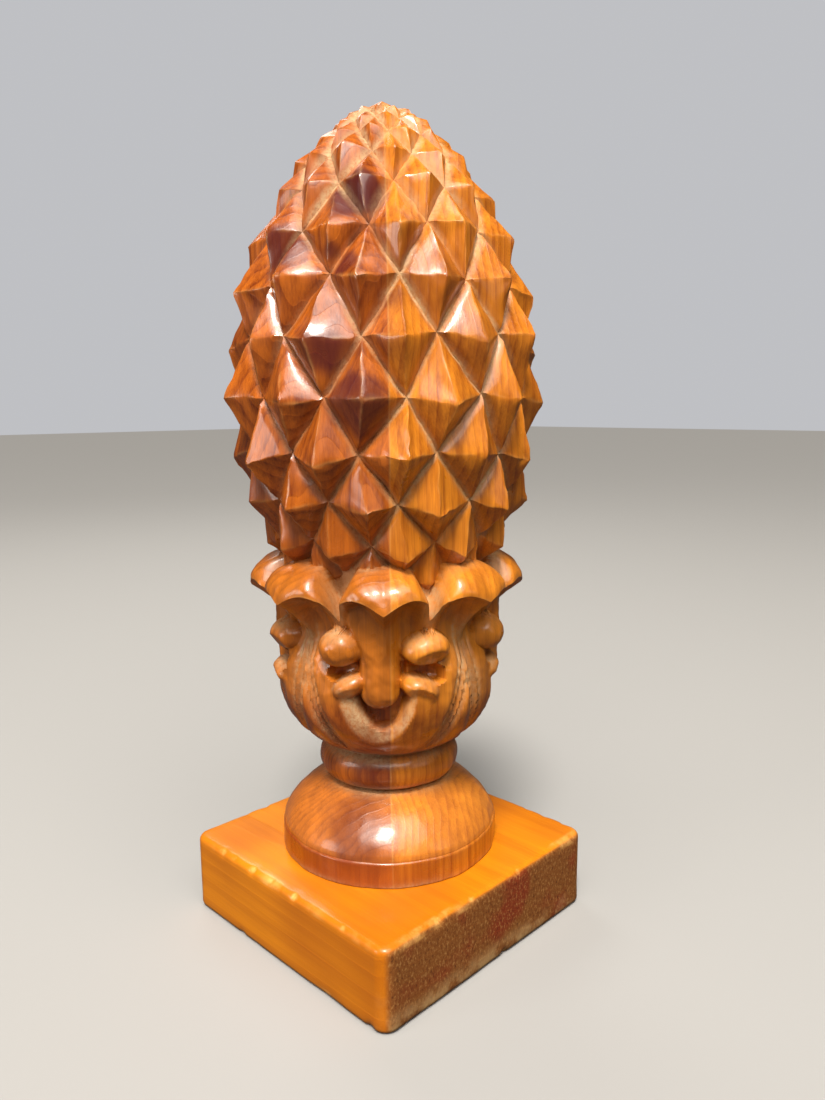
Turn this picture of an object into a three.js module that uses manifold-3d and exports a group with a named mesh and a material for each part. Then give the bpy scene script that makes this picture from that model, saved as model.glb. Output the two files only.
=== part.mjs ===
// A carved wooden pineapple finial glued on a square base block.
// Units are millimetres, +Z is up, and the origin is the centre of the base block's underside.
// The block's sides run along X and Y. The finial is one carved piece: foot, neck ring, leaf cup and fruit.
import * as THREE from "three";
import { mergeVertices } from "three/addons/utils/BufferGeometryUtils.js";
import Module from "manifold-3d";

const wasm = await Module();
wasm.setup();

// Base block
const BASE_SIDE = 102;
const BASE_HEIGHT = 28;
const BASE_CORNER_RADIUS = 5;
const BASE_ARRIS = 2.2;

// Round foot and neck ring, turned below the cup
const FOOT_RADIUS = 38.5;
const FOOT_RIM_HEIGHT = 9;
const FOOT_TOP_HEIGHT = 26;
const FOOT_SWELL_IN = 3.5;
const FOOT_SWELL_DOWN = 6.5;
const WAIST_RADIUS = 19.5;
const RING_BULGE = 5.3;
const RING_HEIGHT = 12.6;
const RING_TOP_ANGLE = 0.32 * Math.PI;
const TURNING_SEGMENTS = 36;

// Leaf cup: eight leaves; every second one is a front leaf with a rib, two knobs and two curls
const CUP_BOTTOM = 67;
const CUP_SWELL_TOP = 92;
const CUP_TOP = 137;
const CUP_NECK_RADIUS = 20;
const CUP_RADIUS = 38.6;
const CUP_SWELL_POWER = 0.62;
const LEAF_COUNT = 8;
const FRONT_LEAF_COUNT = LEAF_COUNT / 2;
const FIRST_FRONT_LEAF = THREE.MathUtils.degToRad(-45);
const LEAF_ANGLE = (2 * Math.PI) / LEAF_COUNT;
const CUP_COLUMNS = 80;
const BOWL_ROWS = 5;
const FLARE_ROWS = 6;
const ROLL_ROWS = 4;

// Pocket in a front leaf, and the groove that parts it from the next leaf
const POCKET_HALF_WIDTH = 11.4;
const POCKET_MIDDLE = 94;
const POCKET_BOTTOM = 79;
const POCKET_TOP = 111;
const POCKET_FLOOR_RADIUS = 29.6;
const POCKET_FLOOR_SPREAD = 2;
const GROOVE_COLUMN = 8;
const GROOVE_FOOT = 70;
const GROOVE_TOP = 103;
const GROOVE_FOOT_ANGLE = THREE.MathUtils.degToRad(25);
const GROOVE_TOP_ANGLE = THREE.MathUtils.degToRad(42);
const GROOVE_LEAN_POWER = 0.6;
const GROOVE_DEPTH = 2.4;
const GROOVE_RUN_OUT = 3;

// Rib, knobs and curls that stand in the pocket, and the hollow eye between each knob and curl
const RIB_RADIUS = 6.5;
const RIB_END = 87.5;
const RIB_TOP = 124;
const RIB_FACE = 38.8;
const KNOB_ANGLE = THREE.MathUtils.degToRad(22.6);
const KNOB_HEIGHT = 107.4;
const KNOB_HALF = new THREE.Vector3(7.1, 7.6, 6.4);
const KNOB_FACE = 42.3;
const CURL_ANGLE = THREE.MathUtils.degToRad(19);
const CURL_HEIGHT = 94.9;
const CURL_HALF = new THREE.Vector3(6.2, 6.6, 3.9);
const CURL_FACE = 40.6;
const CURL_TILT = 0.45;
const EYE_ANGLE = THREE.MathUtils.degToRad(20.5);
const EYE_HEIGHT = 100.2;
const EYE_HALF = new THREE.Vector3(4.9, 6.3, 3.8);
const EYE_FACE = 41.5;

// Rolled lips at the top of the leaves
const LIP_RADIUS = 48;
const LIP_EDGE = 121.8;
const LIP_BOW = 3.4;
const LIP_BOW_POWER = 1.1;
const LIP_END = 0.78;
const LIP_END_DROP = 5.2;
const LIP_TONGUE_FALL = 5.4;
const LIP_TONGUE_POWER = 1.8;
const LIP_NOTCH = 5.8;
const LIP_TOP = 135;
const LIP_TOP_FALL = 3.6;
const LIP_TOP_END = 0.55;
const LIP_TOP_DROP = 9.5;
const LIP_BACK_RADIUS = 33;
const FLARE_START = GROOVE_TOP;
const FLARE_RADIUS = 33.5;
const FLARE_POWER = 2.3;
const FLARE_HOLLOW = 3.4;
const ROLL_CURVE = 2.1;
const ROLL_POWER = 0.66;
const WALL_FADE_START = 97;
const WALL_FADE_END = 114;

// Fruit: an egg shape cut into diamond scales by two sets of crossing spirals
const FRUIT_WIDEST = 188;
const FRUIT_RADIUS = 46.8;
const FRUIT_TOP = 279.5;
const FRUIT_LOWER_AXIS = 80;
const FRUIT_SHOULDER_POWER = 0.72;
const SPIRAL_COUNT = 12;
const ROW_STEP = 0.37;
const FIRST_ROW = 123;
const CAP_RADIUS = 7;
const SCALE_TURN = THREE.MathUtils.degToRad(-22.3);
const SCALE_HEIGHT = 0.27;
const SCALE_DROOP = 0.12;
const KNIFE_WANDER = 0.07;
const PEAK_WANDER = 0.1;
const HEIGHT_WANDER = 0.16;
const DROOP_WANDER = 1.2;

// A repeatable number from -1 to 1 for the uneven hand work of scale (row, column)
function handwork(row, column, trait) {
  const wave = Math.sin(row * 12.9898 + column * 78.233 + trait * 37.719) * 43758.5453;
  return 2 * (wave - Math.floor(wave)) - 1;
}

function smoothStep(low, high, x) {
  return THREE.MathUtils.smoothstep(x, low, high);
}

// Point at a radius, polar angle and height
function around(radius, angle, height) {
  return new THREE.Vector3(radius * Math.cos(angle), radius * Math.sin(angle), height);
}

// Closed geometry from vertices and triangles that share them
function meshFrom(vertices, triangles) {
  const geometry = new THREE.BufferGeometry().setFromPoints(vertices);
  geometry.setIndex(triangles);
  return geometry;
}

// A closed geometry as a solid that can be joined to others
function solid(geometry) {
  const bare = geometry.clone();
  bare.deleteAttribute("normal");
  bare.deleteAttribute("uv");
  const merged = mergeVertices(bare, 1e-3);
  return new wasm.Manifold(
    new wasm.Mesh({
      numProp: 3,
      vertProperties: merged.attributes.position.array,
      triVerts: new Uint32Array(merged.index.array),
    }),
  );
}

function geometryOf(manifold) {
  const mesh = manifold.getMesh();
  const geometry = new THREE.BufferGeometry();
  geometry.setAttribute("position", new THREE.BufferAttribute(mesh.vertProperties, 3));
  geometry.setIndex(new THREE.BufferAttribute(mesh.triVerts, 1));
  geometry.computeVertexNormals();
  return geometry;
}

// Closed skin over a stack of rings with equal point counts, capped by a point below and one above
function ringSkin(rings, bottom, top) {
  const count = rings[0].length;
  const vertices = [bottom, ...rings.flat(), top];
  const at = (ring, i) => 1 + ring * count + (i % count);
  const last = rings.length - 1;
  const triangles = [];
  for (let i = 0; i < count; i++) {
    triangles.push(0, at(0, i + 1), at(0, i));
    for (let ring = 0; ring < last; ring++) {
      triangles.push(at(ring, i), at(ring, i + 1), at(ring + 1, i + 1));
      triangles.push(at(ring, i), at(ring + 1, i + 1), at(ring + 1, i));
    }
    triangles.push(vertices.length - 1, at(last, i), at(last, i + 1));
  }
  return meshFrom(vertices, triangles);
}

// Base block: a square with rounded corners and softened arrises
function baseBlock() {
  const half = BASE_SIDE / 2 - BASE_ARRIS;
  const inner = half - (BASE_CORNER_RADIUS - BASE_ARRIS);
  const outline = new THREE.Shape();
  for (let corner = 0; corner < 4; corner++) {
    const start = (corner * Math.PI) / 2;
    const middle = start + Math.PI / 4;
    const x = inner * Math.SQRT2 * Math.cos(middle);
    const y = inner * Math.SQRT2 * Math.sin(middle);
    outline.absarc(x, y, half - inner, start, start + Math.PI / 2, false);
  }
  const block = new THREE.ExtrudeGeometry(outline, {
    depth: BASE_HEIGHT - 2 * BASE_ARRIS,
    bevelEnabled: true,
    bevelThickness: BASE_ARRIS,
    bevelSize: BASE_ARRIS,
    bevelSegments: 2,
    curveSegments: 3,
  });
  block.translate(0, 0, BASE_ARRIS);
  return geometryOf(solid(block));
}

// Foot and neck ring: an upright rim, a swelling top, then a half-round ring that enters the cup
function footAndNeck() {
  const waist = BASE_HEIGHT + FOOT_TOP_HEIGHT;
  const ringMiddle = waist + RING_HEIGHT / 2;
  const swell = new THREE.QuadraticBezierCurve(
    new THREE.Vector2(FOOT_RADIUS, BASE_HEIGHT + FOOT_RIM_HEIGHT),
    new THREE.Vector2(FOOT_RADIUS - FOOT_SWELL_IN, waist - FOOT_SWELL_DOWN),
    new THREE.Vector2(WAIST_RADIUS, waist),
  );
  const ring = new THREE.EllipseCurve(
    WAIST_RADIUS, ringMiddle, RING_BULGE, RING_HEIGHT / 2, -Math.PI / 2, RING_TOP_ANGLE,
  );
  const profile = [
    new THREE.Vector2(0, BASE_HEIGHT),
    new THREE.Vector2(FOOT_RADIUS, BASE_HEIGHT),
    ...swell.getPoints(4),
    ...ring.getPoints(6).slice(1),
    new THREE.Vector2(CUP_NECK_RADIUS + 1, CUP_BOTTOM + 1),
    new THREE.Vector2(0, CUP_BOTTOM + 1),
  ];
  const turned = new THREE.LatheGeometry(profile, TURNING_SEGMENTS);
  return turned.rotateX(Math.PI / 2);
}

// Outer surface of the cup below the lips: a round bowl that turns upright
function cupRadius(z) {
  const fall = Math.max(0, CUP_SWELL_TOP - z) / (CUP_SWELL_TOP - CUP_BOTTOM);
  return CUP_NECK_RADIUS + (CUP_RADIUS - CUP_NECK_RADIUS) * (1 - fall * fall) ** CUP_SWELL_POWER;
}

// Edge of a lip at v, from -1 to 1 across one leaf: it dips at the tip and at both ends
function lipEdge(v) {
  const across = Math.abs(v);
  const bow = LIP_BOW * Math.abs(Math.sin(Math.PI * across)) ** LIP_BOW_POWER;
  return LIP_EDGE + bow - LIP_END_DROP * smoothStep(LIP_END, 1, across);
}

// How far the edge of a lip stands out at v
function lipRadius(v) {
  const across = Math.abs(v);
  const tongue = LIP_RADIUS - LIP_TONGUE_FALL * across ** LIP_TONGUE_POWER;
  return tongue - LIP_NOTCH * smoothStep(LIP_END, 1, across);
}

// Height at which the rolled top of a lip ends at v; it falls away towards the ends of the lip
function lipTop(v) {
  return LIP_TOP - LIP_TOP_FALL * v * v - LIP_TOP_DROP * smoothStep(LIP_TOP_END, 1, Math.abs(v));
}

// Flare of a leaf under its lip, hollowed on both sides of the tip, and the rolled top above the edge
function leafFlare(v, z) {
  const edge = lipEdge(v);
  const reach = lipRadius(v);
  if (z <= edge) {
    const rise = Math.max(0, (z - FLARE_START) / (edge - FLARE_START));
    const power = FLARE_POWER + FLARE_HOLLOW * Math.sin(Math.PI * v) ** 2;
    return rise > 0 ? FLARE_RADIUS + (reach - FLARE_RADIUS) * rise ** power : 0;
  }
  const over = Math.min(1, (z - edge) / (lipTop(v) - edge));
  return LIP_BACK_RADIUS + (reach - LIP_BACK_RADIUS) * (1 - over ** ROLL_CURVE) ** ROLL_POWER;
}

// Angle from the middle of a front leaf to a column that many steps away
// One column follows the leaning groove; above the groove the columns come back to equal steps
function columnOffset(step, z) {
  const half = CUP_COLUMNS / LEAF_COUNT;
  const climb = THREE.MathUtils.clamp((z - GROOVE_FOOT) / (GROOVE_TOP - GROOVE_FOOT), 0, 1);
  const lean = THREE.MathUtils.lerp(GROOVE_FOOT_ANGLE, GROOVE_TOP_ANGLE, climb ** GROOVE_LEAN_POWER);
  const even = (LEAF_ANGLE * GROOVE_COLUMN) / half;
  const groove = THREE.MathUtils.lerp(lean, even, smoothStep(GROOVE_TOP, LIP_EDGE, z));
  if (step <= GROOVE_COLUMN) {
    return (groove * step) / GROOVE_COLUMN;
  }
  return THREE.MathUtils.lerp(groove, LEAF_ANGLE, (step - GROOVE_COLUMN) / (half - GROOVE_COLUMN));
}

// Point of the cup in one column; the level gives its height from the height of the lip's edge there
function cupPoint(column, level) {
  const perLeaf = CUP_COLUMNS / FRONT_LEAF_COUNT;
  const leaf = Math.round(column / perLeaf);
  const steps = column - leaf * perLeaf;
  const step = Math.abs(steps);
  const atLip = columnOffset(step, CUP_TOP);
  const v = (2 * Math.min(atLip, LEAF_ANGLE - atLip)) / LEAF_ANGLE;
  const z = level(lipEdge(v));
  const depth = step === GROOVE_COLUMN ? GROOVE_DEPTH : 0;
  const cut = depth * smoothStep(GROOVE_FOOT, GROOVE_FOOT + GROOVE_RUN_OUT, z);
  const underLip = smoothStep(WALL_FADE_START, WALL_FADE_END, z);
  const wall = THREE.MathUtils.lerp(cupRadius(z) - cut, LIP_BACK_RADIUS, underLip);
  const angle = FIRST_FRONT_LEAF + 2 * LEAF_ANGLE * leaf + Math.sign(steps) * columnOffset(step, z);
  return around(Math.max(wall, leafFlare(v, z)), angle, z);
}

// Cup wall and lips as one skin: rows up the bowl, up the flare to the lips' edges, then over the lips
function leafCup() {
  const levels = [];
  for (let row = 0; row <= BOWL_ROWS; row++) {
    const climb = 1 - Math.cos((Math.PI / 2) * (row / BOWL_ROWS));
    levels.push(() => THREE.MathUtils.lerp(CUP_BOTTOM, CUP_SWELL_TOP, climb));
  }
  for (let row = 0; row <= FLARE_ROWS; row++) {
    levels.push((edge) => THREE.MathUtils.lerp(FLARE_START, edge, row / FLARE_ROWS));
  }
  for (let row = 1; row <= ROLL_ROWS; row++) {
    levels.push((edge) => THREE.MathUtils.lerp(edge, CUP_TOP, row / ROLL_ROWS));
  }
  const columns = Array.from({ length: CUP_COLUMNS }, (_, column) => column);
  const rings = levels.map((level) => columns.map((column) => cupPoint(column, level)));
  return ringSkin(rings, new THREE.Vector3(0, 0, CUP_BOTTOM), new THREE.Vector3(0, 0, CUP_TOP));
}

// Tool that hollows a front leaf: a round-ended upright slot outside a slightly flaring core
function pocketCutter(angle) {
  const slot = new THREE.Shape();
  slot.moveTo(POCKET_HALF_WIDTH, POCKET_TOP);
  slot.lineTo(-POCKET_HALF_WIDTH, POCKET_TOP);
  slot.lineTo(-POCKET_HALF_WIDTH, POCKET_MIDDLE);
  const drop = POCKET_MIDDLE - POCKET_BOTTOM;
  slot.absellipse(0, POCKET_MIDDLE, POCKET_HALF_WIDTH, drop, Math.PI, 2 * Math.PI);
  const bar = new THREE.ExtrudeGeometry(slot, {
    depth: CUP_RADIUS,
    bevelEnabled: false,
    curveSegments: 14,
  });
  bar.applyMatrix4(new THREE.Matrix4().makeBasis(
    new THREE.Vector3(0, 1, 0), new THREE.Vector3(0, 0, 1), new THREE.Vector3(1, 0, 0),
  ));
  bar.translate(CUP_RADIUS / 2, 0, 0);
  const height = CUP_TOP - CUP_BOTTOM;
  const core = new THREE.CylinderGeometry(
    POCKET_FLOOR_RADIUS + POCKET_FLOOR_SPREAD, POCKET_FLOOR_RADIUS - POCKET_FLOOR_SPREAD / 4, height, 40,
  );
  core.rotateX(Math.PI / 2);
  core.translate(0, 0, (CUP_TOP + CUP_BOTTOM) / 2);
  return solid(bar.rotateZ(angle)).subtract(solid(core.rotateZ(angle)));
}

// An egg-shaped boss whose outermost point lies at the given face radius
function boss(half, face, tilt, angle, height) {
  const egg = new THREE.SphereGeometry(1, 8, 7);
  egg.scale(half.x, half.y, half.z);
  egg.rotateX(tilt);
  egg.translate(face - half.x, 0, height);
  return egg.rotateZ(angle);
}

// Rib, knobs and curls of one front leaf
function frontLeafBosses(angle) {
  const rib = new THREE.CapsuleGeometry(RIB_RADIUS, RIB_TOP - RIB_END - 2 * RIB_RADIUS, 3, 12);
  rib.rotateX(Math.PI / 2);
  rib.translate(RIB_FACE - RIB_RADIUS, 0, (RIB_TOP + RIB_END) / 2);
  const bosses = [rib.rotateZ(angle)];
  for (const side of [-1, 1]) {
    bosses.push(boss(KNOB_HALF, KNOB_FACE, 0, angle + side * KNOB_ANGLE, KNOB_HEIGHT));
    bosses.push(boss(CURL_HALF, CURL_FACE, -side * CURL_TILT, angle + side * CURL_ANGLE, CURL_HEIGHT));
  }
  return bosses;
}

// Radius of the fruit at the bottom of its grooves
function fruitRadius(z) {
  if (z < FRUIT_WIDEST) {
    return FRUIT_RADIUS * Math.sqrt(1 - ((FRUIT_WIDEST - z) / FRUIT_LOWER_AXIS) ** 2);
  }
  const rise = Math.min(1, (z - FRUIT_WIDEST) / (FRUIT_TOP - FRUIT_WIDEST));
  return FRUIT_RADIUS * (1 - rise * rise) ** FRUIT_SHOULDER_POWER;
}

// Heights of the rows where the spirals cross; the step shrinks with the radius
function crossingRows() {
  const rows = [FIRST_ROW];
  while (fruitRadius(rows.at(-1)) > CAP_RADIUS) {
    const z = rows.at(-1);
    const radius = fruitRadius(z);
    const slope = fruitRadius(z + 0.5) - fruitRadius(z - 0.5);
    rows.push(z + (ROW_STEP * radius) / Math.hypot(1, slope));
  }
  return rows;
}

// Fruit: a four-sided pyramid on each diamond between crossing spirals
function scaledFruit() {
  const heights = crossingRows();
  const pitch = (2 * Math.PI) / SPIRAL_COUNT;
  const vertices = [];
  const triangles = [];
  const crossing = (row, column) => row * SPIRAL_COUNT + ((column + SPIRAL_COUNT) % SPIRAL_COUNT);
  const angleOf = (row, column) => SCALE_TURN + pitch * (column + (row % 2) / 2);
  heights.forEach((z, row) => {
    const radius = fruitRadius(z);
    for (let column = 0; column < SPIRAL_COUNT; column++) {
      const sway = KNIFE_WANDER * pitch * handwork(row, column, 1);
      const lift = KNIFE_WANDER * ROW_STEP * radius * handwork(row, column, 2);
      vertices.push(around(fruitRadius(z + lift), angleOf(row, column) + sway, z + lift));
    }
  });
  const last = heights.length - 1;
  for (let row = 0; row <= last; row++) {
    for (let column = 0; column < SPIRAL_COUNT; column++) {
      const left = crossing(row, column);
      const right = crossing(row, column + 1);
      const above = crossing(row + 1, column + (row % 2));
      const below = crossing(row - 1, column + (row % 2));
      if (row === 0) {
        triangles.push(left, right, above);
        continue;
      }
      if (row === last) {
        triangles.push(left, below, right);
        continue;
      }
      const width = pitch * fruitRadius(heights[row]);
      const droop = SCALE_DROOP * (heights[row] - heights[row - 1]);
      const z = heights[row] - droop * (1 + DROOP_WANDER * handwork(row, column, 3));
      const angle = angleOf(row, column) + pitch * (0.5 + PEAK_WANDER * handwork(row, column, 4));
      const height = SCALE_HEIGHT * width * (1 + HEIGHT_WANDER * handwork(row, column, 5));
      const slope = fruitRadius(z + 0.5) - fruitRadius(z - 0.5);
      const lean = Math.hypot(1, slope);
      vertices.push(around(fruitRadius(z) + height / lean, angle, z - (slope * height) / lean));
      const peak = vertices.length - 1;
      triangles.push(left, peak, above, peak, right, above, left, below, peak, below, right, peak);
    }
  }
  const bottom = vertices.push(new THREE.Vector3(0, 0, FIRST_ROW)) - 1;
  const top = vertices.push(new THREE.Vector3(0, 0, FRUIT_TOP)) - 1;
  for (let column = 0; column < SPIRAL_COUNT; column++) {
    triangles.push(bottom, crossing(0, column + 1), crossing(0, column));
    triangles.push(top, crossing(last, column), crossing(last, column + 1));
  }
  return meshFrom(vertices, triangles);
}

const carvedWood = new THREE.MeshStandardMaterial({ color: 0x9a4f1c, roughness: 0.35, metalness: 0 });
const baseWood = new THREE.MeshStandardMaterial({ color: 0xc9791d, roughness: 0.4, metalness: 0 });

const base = new THREE.Mesh(baseBlock(), baseWood);
base.name = "square_base";

let cup = solid(leafCup());
for (let leaf = 0; leaf < FRONT_LEAF_COUNT; leaf++) {
  const angle = FIRST_FRONT_LEAF + 2 * LEAF_ANGLE * leaf;
  cup = cup.subtract(pocketCutter(angle));
  for (const side of [-1, 1]) {
    cup = cup.subtract(solid(boss(EYE_HALF, EYE_FACE, 0, angle + side * EYE_ANGLE, EYE_HEIGHT)));
  }
  for (const form of frontLeafBosses(angle)) {
    cup = cup.add(solid(form));
  }
}
const carving = solid(footAndNeck()).add(cup).add(solid(scaledFruit()));
const finial = new THREE.Mesh(geometryOf(carving), carvedWood);
finial.name = "carved_finial";

const pineappleFinial = new THREE.Group();
pineappleFinial.add(base, finial);

export default pineappleFinial;
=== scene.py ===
"""Looks of a carved pineapple finial: the carving, its base block, their wood and a plain studio.

Sizes in the classes are in millimetres, as a carver would mark them out; meshes are made in metres.
"""

import logging
import math
from dataclasses import dataclass, field
from enum import Enum

import bmesh
import bpy
import numpy as np
from mathutils import Matrix, Vector
from mathutils.kdtree import KDTree


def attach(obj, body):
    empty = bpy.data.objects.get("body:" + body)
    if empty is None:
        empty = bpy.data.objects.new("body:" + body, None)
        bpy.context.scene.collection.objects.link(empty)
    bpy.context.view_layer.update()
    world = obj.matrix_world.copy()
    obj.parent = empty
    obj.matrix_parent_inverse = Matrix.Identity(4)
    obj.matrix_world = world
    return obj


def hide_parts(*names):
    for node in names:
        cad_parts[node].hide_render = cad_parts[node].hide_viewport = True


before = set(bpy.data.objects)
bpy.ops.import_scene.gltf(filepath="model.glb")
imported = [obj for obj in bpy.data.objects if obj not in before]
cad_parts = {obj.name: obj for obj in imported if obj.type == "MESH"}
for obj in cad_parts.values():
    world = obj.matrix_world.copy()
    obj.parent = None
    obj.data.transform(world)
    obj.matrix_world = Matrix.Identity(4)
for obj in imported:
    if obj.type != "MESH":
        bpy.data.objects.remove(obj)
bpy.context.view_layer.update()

Array = np.ndarray
Colour = tuple[float, float, float, float]
Triple = tuple[float, float, float]
Pair = tuple[float, float]
Socket = bpy.types.NodeSocket
log = logging.getLogger("finial")

MM = 0.001

HASH_STEPS = (12.9898, 78.233, 37.719)
HASH_SCALE = 43758.5453
RIPPLE_WAVES = 7
RIPPLE_SPREAD = (0.7, 1.4)
RIPPLE_CREST = 3.2


class Layer(Enum):
    """Point layers painted on a mesh while it is shaped, read by the finishes."""

    DUST = "dust"
    WEAR = "wear"


def smooth_step(low: float, high: float, x: Array) -> Array:
    """Eases from 0 to 1 while x goes from low to high.

    Args:
        low: Value of x where the step starts.
        high: Value of x where the step ends.
        x: Values to ease.

    Returns:
        The eased values.
    """
    t = np.clip((x - low) / (high - low), 0.0, 1.0)
    return t * t * (3.0 - 2.0 * t)


def blend_max(a: Array, b: Array, soft: float) -> Array:
    """Joins two surfaces, keeping the outer one, with a fillet.

    Args:
        a: Radii of the first surface.
        b: Radii of the second surface.
        soft: Width of the fillet, in the same unit.

    Returns:
        Radii of the joined surface.
    """
    near = np.maximum(soft - np.abs(a - b), 0.0) / soft
    return np.maximum(a, b) + near * near * soft * 0.25


def handwork(row: int, column: int, trait: int) -> float:
    """A repeatable number from -1 to 1 for the uneven hand work of one form.

    Args:
        row: Row of the form.
        column: Column of the form.
        trait: Which of its traits is meant.

    Returns:
        The number.
    """
    by_row, by_column, by_trait = HASH_STEPS
    wave = math.sin(row * by_row + column * by_column + trait * by_trait) * HASH_SCALE
    return 2.0 * (wave - math.floor(wave)) - 1.0


def ripple(points: Array, wavelength: float, seed: int) -> Array:
    """Smooth waviness in space, from about -1 to 1.

    Args:
        points: Positions, last axis x, y, z.
        wavelength: Typical distance between crests.
        seed: Picks the pattern.

    Returns:
        One value for each position.
    """
    random = np.random.default_rng(seed)
    total = np.zeros(points.shape[:-1])
    for _ in range(RIPPLE_WAVES):
        direction = random.normal(size=3)
        crests = 2.0 * math.pi / (wavelength * np.linalg.norm(direction))
        direction *= crests * random.uniform(*RIPPLE_SPREAD)
        total += np.sin(points @ direction + random.uniform(0.0, 2.0 * math.pi))
    return total / RIPPLE_CREST


@dataclass
class Skin:
    """A closed mesh being shaped, in millimetres.

    Attributes:
        points: Vertex positions.
        faces: Vertex numbers of each face.
        layers: Painted values for each vertex.
    """

    points: Array
    faces: list[tuple[int, ...]]
    layers: dict[Layer, Array] = field(default_factory=dict)

    @classmethod
    def over_rings(cls, rings: Array, layers: dict[Layer, Array]) -> "Skin":
        """Covers a stack of rings and closes it with a flat fan at each end.

        Args:
            rings: Positions, axes ring, point, xyz; each ring runs anticlockwise seen from above.
            layers: Values with the rings' first two axes.

        Returns:
            The closed skin.
        """
        count, around = rings.shape[:2]
        bottom, top = rings[0].mean(axis=0), rings[-1].mean(axis=0)
        points = np.vstack([rings.reshape(-1, 3), bottom, top])
        low, high = count * around, count * around + 1
        column = np.arange(around)
        following = (column + 1) % around
        faces: list[tuple[int, ...]] = []
        for ring in range(count - 1):
            a, b = ring * around, (ring + 1) * around
            quads = np.stack([a + column, a + following, b + following, b + column], axis=1)
            faces.extend(map(tuple, quads.tolist()))
        last = (count - 1) * around
        faces.extend((low, int(j), int(i)) for i, j in zip(column, following))
        faces.extend((high, last + int(i), last + int(j)) for i, j in zip(column, following))
        painted = {
            layer: np.concatenate([values.reshape(-1), [values[0].mean(), values[-1].mean()]])
            for layer, values in layers.items()
        }
        return cls(points, faces, painted)

    def to_object(self, name: str) -> bpy.types.Object:
        """Makes a scene object of the skin.

        Args:
            name: Name of the object and its mesh.

        Returns:
            The object, linked to the scene, in metres.
        """
        mesh = bpy.data.meshes.new(name)
        mesh.from_pydata((self.points * MM).tolist(), [], self.faces)
        for layer, values in self.layers.items():
            attribute = mesh.attributes.new(layer.value, "FLOAT", "POINT")
            attribute.data.foreach_set("value", values.astype(np.float32))
        mesh.update()
        made = bpy.data.objects.new(name, mesh)
        bpy.context.scene.collection.objects.link(made)
        return made


def join_solids(target: bpy.types.Object, others: list[bpy.types.Object]) -> None:
    """Joins closed meshes into one closed mesh and carries their painted layers over.

    Args:
        target: Object that becomes the joined solid.
        others: Objects that are joined to it and then removed.
    """
    sources = [target, *others]
    places = np.vstack([_positions(each.data) for each in sources])
    painted = {
        layer: np.concatenate([_layer_values(each.data, layer) for each in sources]) for layer in Layer
    }
    for other in others:
        step = target.modifiers.new("join", "BOOLEAN")
        step.operation = "UNION"
        step.solver = "MANIFOLD"
        step.object = other
    graph = bpy.context.evaluated_depsgraph_get()
    joined = bpy.data.meshes.new_from_object(target.evaluated_get(graph))
    target.modifiers.clear()
    worn_out = [target.data, *(other.data for other in others)]
    joined.name = target.name
    target.data = joined
    for other in others:
        bpy.data.objects.remove(other)
    for mesh in worn_out:
        bpy.data.meshes.remove(mesh)
    _carry_layers(target.data, places, painted)


def _positions(mesh: bpy.types.Mesh) -> Array:
    """Vertex positions of a mesh.

    Args:
        mesh: The mesh.

    Returns:
        Positions, one row for each vertex.
    """
    values = np.zeros(len(mesh.vertices) * 3, np.float32)
    mesh.vertices.foreach_get("co", values)
    return values.reshape(-1, 3)


def _layer_values(mesh: bpy.types.Mesh, layer: Layer) -> Array:
    """Painted values of one layer.

    Args:
        mesh: The mesh.
        layer: The layer.

    Returns:
        One value for each vertex.
    """
    values = np.zeros(len(mesh.vertices), np.float32)
    mesh.attributes[layer.value].data.foreach_get("value", values)
    return values


def _carry_layers(mesh: bpy.types.Mesh, places: Array, painted: dict[Layer, Array]) -> None:
    """Paints a joined mesh from the nearest vertex of the meshes it came from.

    Args:
        mesh: The joined mesh.
        places: Vertex positions of the meshes it came from.
        painted: Their painted values.
    """
    tree = KDTree(len(places))
    for index, place in enumerate(places):
        tree.insert(place, index)
    tree.balance()
    nearest = np.array([tree.find(place)[1] for place in _positions(mesh)])
    for layer, values in painted.items():
        old = mesh.attributes.get(layer.value)
        if old is not None:
            mesh.attributes.remove(old)
        attribute = mesh.attributes.new(layer.value, "FLOAT", "POINT")
        attribute.data.foreach_set("value", values[nearest].astype(np.float32))


@dataclass(frozen=True)
class Egg:
    """An egg-shaped form that stands on the cup or is cut out of it.

    Attributes:
        turn: Angle from the middle of its leaf, in degrees.
        height: Height of its middle.
        face: Radius of its outermost point.
        deep: Half its size along the radius.
        wide: Half its size round the cup.
        tall: Half its size upright.
        tilt: Turn about the radius, in radians.
    """

    turn: float
    height: float
    face: float
    deep: float
    wide: float
    tall: float
    tilt: float = 0.0

    def faces(self, offset: Array, z: Array) -> tuple[Array, Array]:
        """Radii where rays from the axis enter and leave the egg.

        Args:
            offset: Angle of each ray from the middle of the leaf, in radians.
            z: Height of each ray.

        Returns:
            Inner and outer radius, NaN where a ray misses.
        """
        angle = offset - math.radians(self.turn)
        out, along = np.cos(angle), np.sin(angle)
        rise = z - self.height
        c, s = math.cos(self.tilt), math.sin(self.tilt)
        centre = self.face - self.deep
        wide_slope, wide_start = along * c / self.wide, rise * s / self.wide
        tall_slope, tall_start = -along * s / self.tall, rise * c / self.tall
        a = (out / self.deep) ** 2 + wide_slope**2 + tall_slope**2
        b = -2.0 * out * centre / self.deep**2 + 2.0 * (wide_slope * wide_start + tall_slope * tall_start)
        k = (centre / self.deep) ** 2 + wide_start**2 + tall_start**2 - 1.0
        inside = b * b - 4.0 * a * k
        root = np.sqrt(np.where(inside > 0.0, inside, np.nan))
        return (-b - root) / (2.0 * a), (-b + root) / (2.0 * a)


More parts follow.
